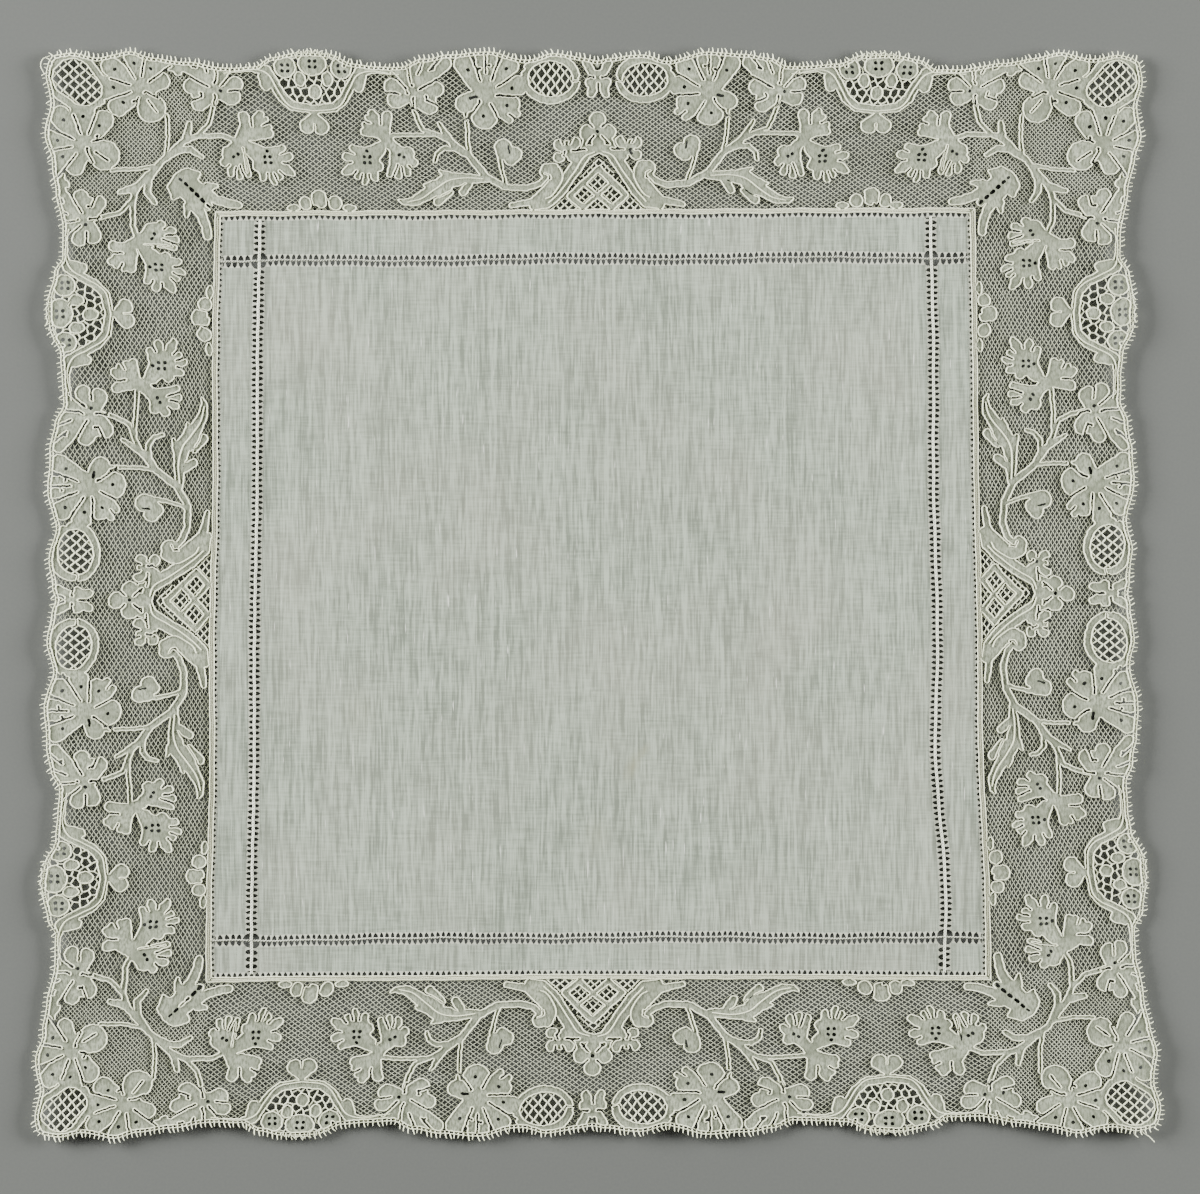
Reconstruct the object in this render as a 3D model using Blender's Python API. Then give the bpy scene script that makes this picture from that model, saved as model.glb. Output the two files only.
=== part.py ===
"""A square linen handkerchief with a floral bobbin lace border, lying flat.

Two pieces are made: the hemstitched linen centre and the lace border that is whipped
round it. The border is drawn once for an eighth of the ring, from the middle of a side
to a corner, and is then turned and mirrored round the cloth. Along a side, s runs from
the side's middle and t runs outward from the centre of the handkerchief.
"""
import math

import bmesh
import bpy

MM = 0.001

# Driving dimensions, in metres
CLOTH_HALF = 114.0 * MM
BORDER_HALF = 162.0 * MM
SEAM_GAP = 0.3 * MM
FIELD_THICK = 1.00 * MM
HEM_RISE = 0.25 * MM
LADDER_DEPTH = 0.45 * MM
LADDER_WIDTH = 3.0 * MM
GROUND_THICK = 1.00 * MM
RIPPLE = 0.10 * MM
RIPPLE_LENGTH = 95.0 * MM

# Height of each kind of raised clothwork above the net ground, in metres
LEAF_RISE = 0.40 * MM
FLOWER_RISE = 0.46 * MM
STEM_RISE = 0.34 * MM
BAND_RISE = 0.29 * MM
SMALL_RISE = 0.52 * MM
SUNK = 0.50 * MM

# Distance of each row of hemstitch from the centre, in metres
LADDERS = {"top": 100.7 * MM, "right": 102.0 * MM, "bottom": 102.9 * MM, "left": 102.0 * MM}

# How far the lying cloth is pulled out of a true square, in mm: u, v, dx, dy
CLOTH_PULL = (
    (-1, 1, 0.0, -0.9),
    (0, 1, -0.9, -0.2),
    (1, 1, -3.0, 0.3),
    (1, 0, -1.2, -0.3),
    (1, -1, 1.5, -0.3),
    (0, -1, -1.8, 0.0),
    (-1, -1, -2.4, -0.9),
    (-1, 0, -1.2, -1.8),
)
BORDER_PULL = (
    (-1, 1, -3.8, -0.3),
    (0, 1, -0.9, -1.2),
    (1, 1, 0.4, -1.0),
    (1, 0, -3.1, -0.3),
    (1, -1, 6.2, 1.6),
    (0, -1, -1.8, 1.7),
    (-1, -1, -7.2, -0.4),
    (-1, 0, -2.2, -1.8),
)

# Scalloped edge of half a side, in mm: s, t
EDGE = (
    (0.0, 161.6),
    (4.0, 162.4),
    (13.4, 163.6),
    (21.3, 161.9),
    (33.0, 164.5),
    (43.0, 163.8),
    (51.0, 162.3),
    (57.0, 159.7),
    (65.0, 159.9),
    (72.0, 160.3),
    (80.0, 163.3),
    (88.0, 163.5),
    (96.0, 161.9),
    (101.0, 159.2),
    (110.0, 159.1),
    (121.0, 160.8),
    (131.0, 162.0),
    (138.0, 163.6),
    (148.0, 161.7),
    (155.0, 162.8),
    (161.6, 161.6),
)
EDGE_STEP = 7.0

# Lobes of a flower or leaf, anticlockwise, in degrees and mm: heading, reach, radius
LARGE_FLOWER = ((56, 10.6, 3.0), (94, 10.4, 2.2), (130, 10.1, 2.9), (166, 9.4, 2.7), (213, 9.0, 2.6),
                (273, 5.4, 3.9), (341, 6.0, 2.2))
SMALL_FLOWER = ((15, 6.2, 2.4), (69, 5.6, 1.7), (108, 9.0, 2.1), (137, 12.0, 2.3), (168, 7.8, 1.9),
                (214, 6.4, 2.1))
VINE_LEAF = ((38, 9.2, 1.8), (80, 7.6, 1.9), (222, 7.4, 2.2), (260, 8.6, 1.8), (304, 12.2, 2.0),
             (340, 14.0, 2.2))
STAR_FLOWER = ((90, 4.2, 2.0), (172, 3.4, 2.2), (270, 2.8, 1.9), (368, 3.4, 2.2))
BLOSSOM = ((50, 2.6, 1.5), (130, 3.0, 1.5), (215, 2.6, 1.6), (325, 2.4, 1.5))
TULIP = ((52, 4.6, 1.5), (90, 3.6, 1.2), (128, 4.6, 1.5), (244, 5.6, 1.2), (296, 5.6, 1.2))
TREFOIL = ((90, 2.2, 1.5), (212, 2.6, 2.3), (328, 2.6, 2.3))
HALF_DAISY = ((12, 4.6, 2.0), (90, 2.6, 2.8), (168, 4.6, 2.0))
NOTCH_SHARE = 0.8

# Where the lobed pieces sit, in mm: name, lobes, s, t, hub radius, rise, mirrored about the scallop
LOBED = (
    ("large flower", LARGE_FLOWER, 33.3, 150.7, 1.6, FLOWER_RISE, True),
    ("small flower", SMALL_FLOWER, 54.5, 150.7, 1.2, FLOWER_RISE, True),
    ("vine leaf", VINE_LEAF, 61.3, 136.0, 1.8, LEAF_RISE, True),
    ("blossom", BLOSSOM, 9.6, 133.8, 1.3, SMALL_RISE, False),
    ("middle flower", STAR_FLOWER, 0.0, 139.0, 1.6, FLOWER_RISE, False),
    ("tulip", TULIP, 0.0, 155.6, 1.8, FLOWER_RISE, False),
    ("trefoil", TREFOIL, 84.0, 141.6, 1.2, LEAF_RISE, False),
    ("half daisy", HALF_DAISY, 84.0, 117.4, 1.2, LEAF_RISE, False),
)

# Round pieces, in mm: name, s, t, half length, half width, tilt, corners, rise, mirrored about the scallop
ROUND = (
    ("bud", 26.9, 134.4, 4.2, 2.5, 52.0, 8, SMALL_RISE, False),
    ("side disc", 75.6, 158.0, 2.9, 2.9, 0.0, 6, SMALL_RISE, True),
    ("top disc", 84.0, 159.9, 3.8, 2.9, 0.0, 8, FLOWER_RISE, False),
)

# Stems and bands, in mm: name, start width, end width, rise, mirrored, route as s, t
STRIPS = (
    ("main stem", 1.9, 1.3, STEM_RISE, False,
     ((15.6, 125.6), (21.3, 122.9), (28.6, 123.5), (38.2, 132.8), (48.4, 139.0))),
    ("leaf twig", 1.1, 1.1, BAND_RISE, False, ((47.0, 139.0), (63.0, 138.6))),
    ("flower stem", 1.1, 1.1, LEAF_RISE, False, ((38.0, 132.0), (39.0, 147.0))),
    ("small flower stem", 1.2, 1.2, LEAF_RISE, False, ((47.0, 138.8), (51.5, 140.6), (54.5, 150.0))),
    ("bud stem", 1.0, 1.0, LEAF_RISE, False, ((27.2, 122.9), (29.0, 134.4))),
    ("sprout", 2.0, 0.9, BAND_RISE, False, ((42.4, 135.4), (46.8, 142.8))),
    ("hook", 1.2, 1.0, BAND_RISE, False, ((38.5, 132.4), (45.2, 135.4), (48.3, 130.6))),
    ("scroll", 2.6, 1.8, SMALL_RISE, False,
     ((16.2, 128.9), (12.8, 126.2), (16.0, 119.4), (26.0, 117.0))),
    ("arch", 3.4, 3.0, BAND_RISE, False, ((2.4, 135.4), (6.0, 128.6), (14.6, 116.2))),
    ("chevron", 1.8, 1.8, LEAF_RISE, False, ((0.0, 127.6), (8.6, 119.8), (5.0, 116.0))),
    ("ribbon", 2.6, 2.6, BAND_RISE, True,
     ((57.5, 156.6), (69.0, 157.4), (75.6, 148.0), (84.0, 145.6))),
    ("corner stem", 1.5, 1.9, STEM_RISE, False,
     ((107.0, 136.4), (111.3, 137.9), (119.8, 137.4), (130.4, 129.6))),
    ("corner flower stem", 1.1, 1.1, LEAF_RISE, False, ((128.9, 130.2), (127.6, 146.0))),
    ("corner small stem", 1.2, 1.2, LEAF_RISE, False, ((119.0, 137.8), (114.6, 142.4), (112.8, 149.6))),
    ("corner sprout", 1.9, 0.9, BAND_RISE, False, ((122.6, 136.2), (121.3, 141.6))),
)
FOOT_BAND = 2.2

# Oval windows, in mm: s, t, half length, half width, tilt in degrees, band width
OVAL = (14.3, 154.5, 6.5, 5.1, 8.0, 2.3)
CORNER_OVAL = (153.6, 153.6, 7.2, 5.4, 45.0, 2.2)
OVAL_CORNERS = 10

# Outlines with their own shape, in mm: s, t
ACANTHUS = (
    (33.2, 125.0), (40.4, 127.8), (46.3, 128.1), (47.5, 125.2), (51.5, 123.9), (52.4, 121.0), (59.9, 118.7),
    (56.4, 116.4), (50.4, 118.4), (47.6, 116.7), (42.8, 121.4), (40.6, 119.9), (38.4, 123.2),
)
LANCE_LEAF = (
    (126.9, 126.9), (118.0, 127.4), (119.4, 124.8), (113.8, 122.8), (113.9, 120.4), (108.9, 116.4),
    (104.8, 116.0), (108.0, 114.7), (115.6, 117.6), (117.4, 117.4),
)
MEDALLION_S = 84.0
SIDES = range(4)


# Places
def clear_scene():
    for thing in list(bpy.data.objects):
        bpy.data.objects.remove(thing, do_unlink=True)


def new_collection(name):
    group = bpy.data.collections.new(name)
    bpy.context.scene.collection.children.link(group)
    return group


def pull_at(rows, u, v):
    """Shift of a square pulled at its four corners and four middles, at u, v from -1 to 1."""
    dx = dy = 0.0
    for cu, cv, px, py in rows:
        if cu and cv:
            weight = (1 + cu * u) * (1 + cv * v) * (cu * u + cv * v - 1) / 4
        elif cu:
            weight = (1 + cu * u) * (1 - v * v) / 2
        else:
            weight = (1 - u * u) * (1 + cv * v) / 2
        dx += weight * px * MM
        dy += weight * py * MM
    return dx, dy


def pulled(x, y):
    """Where a point of the true square lies, before the whole is centred on the origin."""
    reach = max(abs(x), abs(y))
    blend = min(max((reach - CLOTH_HALF) / (BORDER_HALF - CLOTH_HALF), 0.0), 1.2)
    inner = pull_at(CLOTH_PULL, x / CLOTH_HALF, y / CLOTH_HALF)
    if not blend:
        return x + inner[0], y + inner[1]
    inner = pull_at(CLOTH_PULL, x / reach, y / reach)
    outer = pull_at(BORDER_PULL, x / reach, y / reach)
    return (x + inner[0] * (1 - blend) + outer[0] * blend,
            y + inner[1] * (1 - blend) + outer[1] * blend)


def square_point(s, t, side, mirror=1):
    """Point of the true square s along and t out from the middle, in mm, on one side."""
    x, y = mirror * s * MM, t * MM
    for _ in range(side):
        x, y = y, -x
    return x, y


def scallop(s):
    """Outer edge t at s, as a smooth curve through the rows of EDGE."""
    for index in range(len(EDGE) - 1):
        if s <= EDGE[index + 1][0]:
            break
    (s0, t0), (s1, t1) = EDGE[index], EDGE[index + 1]
    share = (s - s0) / (s1 - s0)
    return t0 + (t1 - t0) * share * share * (3 - 2 * share)


def edge_points():
    """The whole scalloped edge of the true square, side by side from corner to corner."""
    steps = int(EDGE[-1][0] / EDGE_STEP)
    half = [EDGE[-1][0] * index / steps for index in range(steps + 1)]
    points = []
    for side in SIDES:
        for s in [-value for value in half[:0:-1]] + half[:-1]:
            points.append(square_point(abs(s), scallop(abs(s)), side, 1 if s > 0 else -1))
    return points


def middle_of_edge():
    laid = [pulled(x, y) for x, y in edge_points()]
    return [(min(axis) + max(axis)) / 2 for axis in zip(*laid)]


def lay(x, y):
    """Where a point of the true square lies on the table, with the origin in the middle."""
    px, py = pulled(x, y)
    return px - MIDDLE[0], py - MIDDLE[1]


def place(s, t, side, mirror=1):
    return lay(*square_point(s, t, side, mirror))


def ripple(x, y):
    wave = math.sin(x * math.tau / RIPPLE_LENGTH + 0.7) * math.cos(y * math.tau / (1.3 * RIPPLE_LENGTH))
    return RIPPLE * wave


# Building blocks
def material(name, rgb, roughness, metallic=0.0):
    made = bpy.data.materials.new(name)
    made.use_nodes = True
    shader = made.node_tree.nodes["Principled BSDF"]
    shader.inputs["Base Color"].default_value = (*rgb, 1.0)
    shader.inputs["Roughness"].default_value = roughness
    shader.inputs["Metallic"].default_value = metallic
    made.diffuse_color = (*rgb, 1.0)
    return made


def slab(name, outlines, low, high, group):
    """A flat closed plate from one or more outlines; an outline inside another is a hole."""
    curve = bpy.data.curves.new(name, "CURVE")
    curve.dimensions = "2D"
    curve.fill_mode = "BOTH"
    curve.extrude = (high - low) / 2
    for outline in outlines:
        spline = curve.splines.new("POLY")
        spline.points.add(len(outline) - 1)
        for point, (x, y) in zip(spline.points, outline):
            point.co = (x, y, 0.0, 1.0)
        spline.use_cyclic_u = True
    shape = bpy.data.objects.new(name, curve)
    group.objects.link(shape)
    shape.location.z = (high + low) / 2
    return as_mesh(shape, group)


def as_mesh(shape, group):
    """The same shape as a welded mesh, so that a Boolean can use it."""
    bpy.context.view_layer.update()
    graph = bpy.context.evaluated_depsgraph_get()
    mesh = bpy.data.meshes.new_from_object(shape.evaluated_get(graph))
    name, matrix = shape.name, shape.matrix_world.copy()
    bpy.data.objects.remove(shape, do_unlink=True)
    solid = bpy.data.objects.new(name, mesh)
    solid.matrix_world = matrix
    group.objects.link(solid)
    work = bmesh.new()
    work.from_mesh(mesh)
    bmesh.ops.remove_doubles(work, verts=work.verts, dist=0.00001)
    bmesh.ops.recalc_face_normals(work, faces=work.faces)
    work.to_mesh(mesh)
    work.free()
    return solid


# Outlines of the lace, in mm on one side
def lobe_edge(turn, reach, radius, hub):
    """How far a tapered lobe stretches in a direction turned from its own heading."""
    if abs(turn) >= math.pi / 2:
        return hub
    off = reach * math.sin(abs(turn))
    if off <= radius:
        return reach * math.cos(turn) + math.sqrt(radius * radius - off * off)
    slope = math.tan(abs(turn)) - (radius - hub) / reach
    return max(hub, min(hub / slope, reach) / math.cos(turn)) if slope > 0 else hub


def reach_of(lobes, angle, hub):
    """Edge of the lobed shape in one direction, in degrees."""
    turns = [math.radians((angle - row[0] + 180) % 360 - 180) for row in lobes]
    return max(lobe_edge(turn, row[1], row[2], hub) for turn, row in zip(turns, lobes))


def lobed_outline(lobes, s, t, hub):
    """A point at the tip of each lobe and one in the notch after it."""
    points = []
    for index, row in enumerate(lobes):
        after = lobes[(index + 1) % len(lobes)]
        notch = row[0] + ((after[0] - row[0]) % 360) / 2
        tips = min(row[1] + row[2], after[1] + after[2])
        deep = (reach_of(lobes, notch, hub) + NOTCH_SHARE * tips) / 2
        for angle, reach in ((row[0], row[1] + row[2]), (notch, deep)):
            turn = math.radians(angle)
            points.append((s + reach * math.cos(turn), t + reach * math.sin(turn)))
    return points


def strip_outline(route, start, end):
    """A band of changing width along a route."""
    left, right = [], []
    for index, (s, t) in enumerate(route):
        before = route[max(index - 1, 0)]
        after = route[min(index + 1, len(route) - 1)]
        ds, dt = after[0] - before[0], after[1] - before[1]
        size = math.hypot(ds, dt)
        half = (start + (end - start) * index / (len(route) - 1)) / 2
        left.append((s - dt / size * half, t + ds / size * half))
        right.append((s + dt / size * half, t - ds / size * half))
    return left + right[::-1]


def oval_outline(s, t, long, wide, tilt, corners):
    turn = math.radians(tilt)
    points = []
    for index in range(corners):
        angle = math.tau * index / corners
        a, b = long * math.cos(angle), wide * math.sin(angle)
        points.append((s + a * math.cos(turn) - b * math.sin(turn), t + a * math.sin(turn) + b * math.cos(turn)))
    return points


def seam_outline(offset):
    """The square where lace and cloth meet, moved out by an offset."""
    half = CLOTH_HALF / MM + offset / MM
    shares = (-1.0, -0.67, -0.33, 0.0, 0.33, 0.67)
    return [place(half * share, half, side) for side in SIDES for share in shares]


# Linen centre
def cloth_lines(near, far):
    """Grid lines across the cloth: edges, the slopes of both hemstitch rows, and the plain field."""
    half = CLOTH_HALF
    row = LADDER_WIDTH / 2
    slope = LADDER_WIDTH / 5
    lines = [-half, -near - row - slope, -near - row, -near + row, -near + row + slope]
    first, last = lines[-1], far - row - slope
    field = 13
    lines += [first + (last - first) * step / field for step in range(1, field)]
    lines += [last, far - row, far + row, far + row + slope, half]
    return lines


def in_ladder(value, near, far):
    row = LADDER_WIDTH / 2 + 0.1 * MM
    return abs(value + near) < row or abs(value - far) < row


def centre_cloth(group):
    """Linen square with a hem on each side and two crossing rows of drawn-thread hemstitch."""
    xs = cloth_lines(LADDERS["left"], LADDERS["right"])
    ys = cloth_lines(LADDERS["bottom"], LADDERS["top"])
    work = bmesh.new()
    bmesh.ops.create_grid(work, x_segments=len(xs) - 1, y_segments=len(ys) - 1, size=0.5)
    for vert in work.verts:
        x = xs[round((vert.co.x + 0.5) * (len(xs) - 1))]
        y = ys[round((vert.co.y + 0.5) * (len(ys) - 1))]
        hem = not (-LADDERS["left"] < x < LADDERS["right"] and -LADDERS["bottom"] < y < LADDERS["top"])
        height = FIELD_THICK + ripple(x, y) + (HEM_RISE if hem else 0.0)
        if in_ladder(x, LADDERS["left"], LADDERS["right"]) or in_ladder(y, LADDERS["bottom"], LADDERS["top"]):
            height -= LADDER_DEPTH
        vert.co = (*lay(x, y), height)
    base = bmesh.ops.extrude_face_region(work, geom=list(work.faces))["geom"]
    lower = [item for item in base if isinstance(item, bmesh.types.BMVert)]
    for vert in lower:
        vert.co.z = 0.0
    flat = [face for face in work.faces if all(vert.co.z == 0.0 for vert in face.verts)]
    bmesh.ops.dissolve_faces(work, faces=flat, use_verts=False)
    bmesh.ops.recalc_face_normals(work, faces=work.faces)
    mesh = bpy.data.meshes.new("centre_cloth")
    work.to_mesh(mesh)
    work.free()
    cloth = bpy.data.objects.new("centre_cloth", mesh)
    group.objects.link(cloth)
    cloth.data.materials.append(material("linen_cambric", (0.50, 0.53, 0.47), 0.88))
    return cloth


# Lace border
def raised(name, outline, rise, side, mirror, group):
    laid = [place(s, t, side, mirror) for s, t in outline]
    low = GROUND_THICK - SUNK - rise / 2
    return slab(name, [laid], low, GROUND_THICK + rise, group)


def mirrored(outline):
    return [(2 * MEDALLION_S - s, t) for s, t in outline]


def ring(name, oval, side, mirror, group):
    s, t, long, wide, tilt, band = oval
    outer = oval_outline(s, t, long + band, wide + band, tilt, OVAL_CORNERS)
    inner = oval_outline(s, t, long, wide, tilt, OVAL_CORNERS)
    laid = [[place(a, b, side, mirror) for a, b in outline] for outline in (outer, inner)]
    return slab(name, laid, GROUND_THICK - 0.6 * SUNK, GROUND_THICK + BAND_RISE, group)


def eighth_pieces():
    """Name, outline and rise of every raised piece of an eighth of the border."""
    pieces = [("acanthus", ACANTHUS, LEAF_RISE), ("lance leaf", LANCE_LEAF, LEAF_RISE)]
    shapes = [(name, lobed_outline(*row), rise, twice) for name, *row, rise, twice in LOBED]
    shapes += [(name, oval_outline(*row), rise, twice) for name, *row, rise, twice in ROUND]
    shapes += [(name, strip_outline(route, *ends), rise, twice) for name, *ends, rise, twice, route in STRIPS]
    for name, outline, rise, twice in shapes:
        pieces.append((name, outline, rise))
        if twice:
            pieces.append((name, mirrored(outline), rise))
    return pieces


def raised_pieces(group):
    centred = {"middle flower", "tulip"}
    for side in SIDES:
        for mirror in (1, -1):
            for name, outline, rise in eighth_pieces():
                if name in centred and mirror < 0:
                    continue
                raised(name, outline, rise, side, mirror, group)
            ring("oval", OVAL, side, mirror, group)
        ring("corner oval", CORNER_OVAL, side, 1, group)


def lace_border(group, cutters):
    """Scalloped ring of net with the flowers, leaves, stems and bands standing up from it."""
    outer = [lay(x, y) for x, y in edge_points()]
    inner = seam_outline(SEAM_GAP)
    border = slab("lace_border", [outer, inner], 0.0, GROUND_THICK, group)
    foot = seam_outline(SEAM_GAP + 0.4 * MM)
    foot_out = seam_outline(SEAM_GAP + FOOT_BAND * MM)
    slab("footside", [foot_out, foot], GROUND_THICK - SUNK, GROUND_THICK + 0.18 * MM, cutters)
    raised_pieces(cutters)
    for piece in cutters.objects:
        piece.hide_render = True
        piece.display_type = "WIRE"
    join = border.modifiers.new("clothwork", "BOOLEAN")
    join.operation = "UNION"
    join.solver = "EXACT"
    join.operand_type = "COLLECTION"
    join.collection = cutters
    join.use_self = True
    border.data.materials.clear()
    border.data.materials.append(material("lace_thread", (0.58, 0.58, 0.50), 0.9))
    return border


def build_all():
    clear_scene()
    parts = new_collection("lace_handkerchief")
    cutters = new_collection("lace_pieces_to_join")
    centre_cloth(parts)
    lace_border(parts, cutters)


MIDDLE = middle_of_edge()
build_all()
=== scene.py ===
"""The looks of a hemstitched linen handkerchief with a floral bobbin lace border.

The lace is drawn once for an eighth of the ring, in millimetres: s runs along a side from
its middle and t runs outward from the centre. Lobes, stems and bands are kept as distances
to their edges on a fine grid. The grid is unfolded round the whole ring, its edge becomes
the outline threads, and what lies inside becomes the woven clothwork.
"""

import math

import bmesh
import bpy
import numpy as np
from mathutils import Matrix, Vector
from mathutils.geometry import delaunay_2d_cdt


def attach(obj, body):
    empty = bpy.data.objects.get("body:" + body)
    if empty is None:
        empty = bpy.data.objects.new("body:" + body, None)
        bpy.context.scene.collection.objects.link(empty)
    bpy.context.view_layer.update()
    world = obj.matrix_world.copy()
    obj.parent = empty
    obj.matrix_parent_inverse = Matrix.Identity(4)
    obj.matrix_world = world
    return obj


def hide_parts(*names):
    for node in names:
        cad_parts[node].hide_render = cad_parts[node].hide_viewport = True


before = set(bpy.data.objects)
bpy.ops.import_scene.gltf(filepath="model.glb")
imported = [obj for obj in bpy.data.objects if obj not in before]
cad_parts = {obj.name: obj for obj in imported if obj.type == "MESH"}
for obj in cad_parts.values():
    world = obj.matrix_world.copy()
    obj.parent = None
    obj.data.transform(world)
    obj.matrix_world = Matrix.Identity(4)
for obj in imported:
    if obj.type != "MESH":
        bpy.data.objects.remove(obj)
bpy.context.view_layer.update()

MM = 0.001

# Driving sizes, in mm, as in the model
CLOTH_HALF = 114.0
BORDER_HALF = 162.0
EDGE_STEP = 7.0
LADDERS = {"top": 100.7, "right": 102.0, "bottom": 102.9, "left": 102.0}

# How far the lying cloth is pulled out of a true square, in mm: u, v, dx, dy
CLOTH_PULL = (
    (-1, 1, 0.0, -0.9),
    (0, 1, -0.9, -0.2),
    (1, 1, -3.0, 0.3),
    (1, 0, -1.2, -0.3),
    (1, -1, 1.5, -0.3),
    (0, -1, -1.8, 0.0),
    (-1, -1, -2.4, -0.9),
    (-1, 0, -1.2, -1.8),
)
BORDER_PULL = (
    (-1, 1, -3.8, -0.3),
    (0, 1, -0.9, -1.2),
    (1, 1, 0.4, -1.0),
    (1, 0, -3.1, -0.3),
    (1, -1, 6.2, 1.6),
    (0, -1, -1.8, 1.7),
    (-1, -1, -7.2, -0.4),
    (-1, 0, -2.2, -1.8),
)

# Scalloped edge of half a side, tips of the edge loops included, in mm: s, t
EDGE = (
    (0.0, 161.6),
    (4.0, 162.4),
    (13.4, 163.6),
    (21.3, 161.9),
    (33.0, 164.5),
    (43.0, 163.8),
    (51.0, 162.3),
    (57.0, 159.7),
    (65.0, 159.9),
    (72.0, 160.3),
    (80.0, 163.3),
    (88.0, 163.5),
    (96.0, 161.9),
    (101.0, 159.2),
    (110.0, 159.1),
    (121.0, 160.8),
    (131.0, 162.0),
    (138.0, 163.6),
    (148.0, 161.7),
    (155.0, 162.8),
    (161.6, 161.6),
)
SIDES = range(4)
MEDALLION_S = 84.0

# Heights above the cloth's underside, in mm
LINEN_Z = 0.55
NET_Z = 0.42
CLOTHWORK_Z = 0.62
OUTLINE_Z = 0.66
FILLING_Z = CLOTHWORK_Z - 0.12
STRAY_Z = OUTLINE_Z - 0.2

# Thread and mesh sizes, in mm
NET_ALONG = (114.0 / 118, 114.0 / 108)
NET_ACROSS = (0.66, 0.72)
NET_THREAD = {"top": 0.20, "right": 0.18, "bottom": 0.20, "left": 0.18}
FILLING_UNEVEN = 0.09
NET_UNEVEN = 0.09
FILLING_THREAD = 0.44
ORNAMENT_THREAD = 0.34
OUTLINE_THREAD = 0.33
FOOT_THREAD = 0.28
STRAY_THREAD = 0.22
EDGE_THREAD = 0.36
LOOP_PITCH = 1.40
LOOP_REACH = 1.35
EDGE_ROW = 0.85
EDGE_EASE = 0.8
COARSE_WOBBLE = 0.13
FINE_WOBBLE = 0.06
STITCH_PITCH = 1.68
LADDER_HALF = 1.75
JOIN_GAP_SIDES = 0.85
JOIN_GAP_ENDS = 1.25
FOOT_LOW = 114.15
FOOT_HIGH = 115.4
FOOT_ROWS = (114.3, 114.75, 115.15)

# Grids, in mm
EIGHTH_STEP = 0.15
EIGHTH_LOW = (-3.0, 112.0)
EIGHTH_HIGH = (167.5, 167.5)
RING_STEP = 0.2
RING_HALF = 167.0
CLOTHWORK_STEP = 0.55
CLOTHWORK_INNER = 2.6
OUTLINE_STEP = 0.60
BARE_ROUND = 8.0
PANEL_STEP = 3.6
FAR = 4.0

# Lobes of a flower or leaflet, in degrees and mm: heading, reach, tip radius
LARGE_FLOWER = (
    (56, 10.6, 3.0), (84, 10.9, 1.6), (99, 10.6, 1.9), (130, 10.2, 3.0), (166, 9.4, 2.9),
    (200, 7.6, 2.6), (211, 10.6, 1.0), (226, 9.8, 1.0), (273, 5.6, 4.0), (338, 6.4, 2.5),
)
CORNER_FLOWER = (
    (126, 8.3, 3.4), (82, 8.6, 3.1), (37, 10.4, 2.9), (2, 9.6, 3.3), (322, 8.6, 2.9),
    (239, 6.6, 4.3), (160, 7.4, 2.4),
)
SMALL_FLOWER = (
    (20, 6.2, 2.2), (344, 4.6, 2.7), (69, 5.8, 1.8), (102, 8.0, 1.9), (122, 10.6, 1.9),
    (137, 13.1, 2.0), (168, 7.4, 2.2), (212, 6.0, 2.4), (190, 5.4, 1.8),
)
UPPER_LEAFLET = ((118, 4.6, 1.5), (62, 5.4, 1.1), (40, 5.0, 1.0), (352, 4.9, 1.3), (14, 5.0, 0.9))
LEFT_LEAFLET = ((302, 6.0, 1.0), (278, 5.7, 1.1), (250, 5.2, 1.1), (206, 4.0, 1.3), (150, 2.6, 1.8))
RIGHT_LEAFLET = (
    (38, 5.6, 1.0), (8, 6.6, 1.1), (331, 8.0, 1.0), (300, 5.6, 1.4), (282, 7.0, 0.9),
    (252, 5.8, 1.0), (212, 3.6, 1.6), (140, 3.6, 1.6),
)
STAR_FLOWER = ((90, 3.4, 2.4), (184, 3.0, 2.5), (-4, 3.0, 2.4), (270, 3.0, 2.0))
BLOSSOM = ((135, 3.7, 1.7), (92, 2.2, 1.2), (48, 3.1, 1.6), (215, 3.0, 1.7), (322, 2.5, 1.6))
TULIP = (
    (128, 4.6, 1.7), (92, 3.6, 1.0), (54, 4.9, 1.6), (322, 2.8, 1.7), (206, 2.8, 1.6),
    (248, 5.6, 1.1), (294, 5.6, 1.1),
)
SIDE_PETAL = ((215, 1.2, 2.0), (15, 1.6, 1.8))

# Gaps between petals, in degrees and mm: heading, start, end
LARGE_GAPS = (
    (70, 4.0, 12.5), (91, 5.5, 12.5), (114, 4.2, 13.0), (148, 3.8, 13.0), (183, 3.0, 12.0),
    (218, 8.6, 11.5), (240, 2.6, 10.5), (309, 3.0, 9.0), (350, 2.6, 4.4),
)
CORNER_GAPS = (
    (144, 3.4, 12.0), (102, 3.4, 12.0), (62, 3.2, 12.0), (18, 3.2, 9.0), (340, 3.0, 11.0),
    (285, 2.6, 6.0), (205, 2.2, 6.0), (234, 4.0, 8.4),
)
SMALL_GAPS = (
    (2, 3.6, 9.0), (46, 2.2, 8.0), (86, 3.2, 10.0), (112, 5.8, 12.5), (130, 8.6, 14.5),
    (151, 2.6, 11.0), (200, 4.4, 8.6), (258, 1.6, 4.0),
)
UPPER_GAPS = ((91, 1.4, 6.0), (27, 3.6, 6.6))
LEFT_GAPS = ((291, 2.4, 7.4), (264, 3.0, 7.0), (228, 3.4, 6.0))
RIGHT_GAPS = ((23, 4.4, 7.8), (350, 4.8, 9.0), (314, 4.8, 8.5), (291, 4.4, 7.5), (267, 4.2, 7.5))
STAR_GAPS = ((137, 1.8, 6.0), (43, 1.8, 6.0), (228, 1.6, 5.0), (312, 1.6, 5.0))
BLOSSOM_GAPS = ((113, 2.6, 5.6), (70, 2.4, 5.6), (175, 1.8, 5.6), (5, 1.8, 4.6), (268, 1.8, 4.6))
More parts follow.
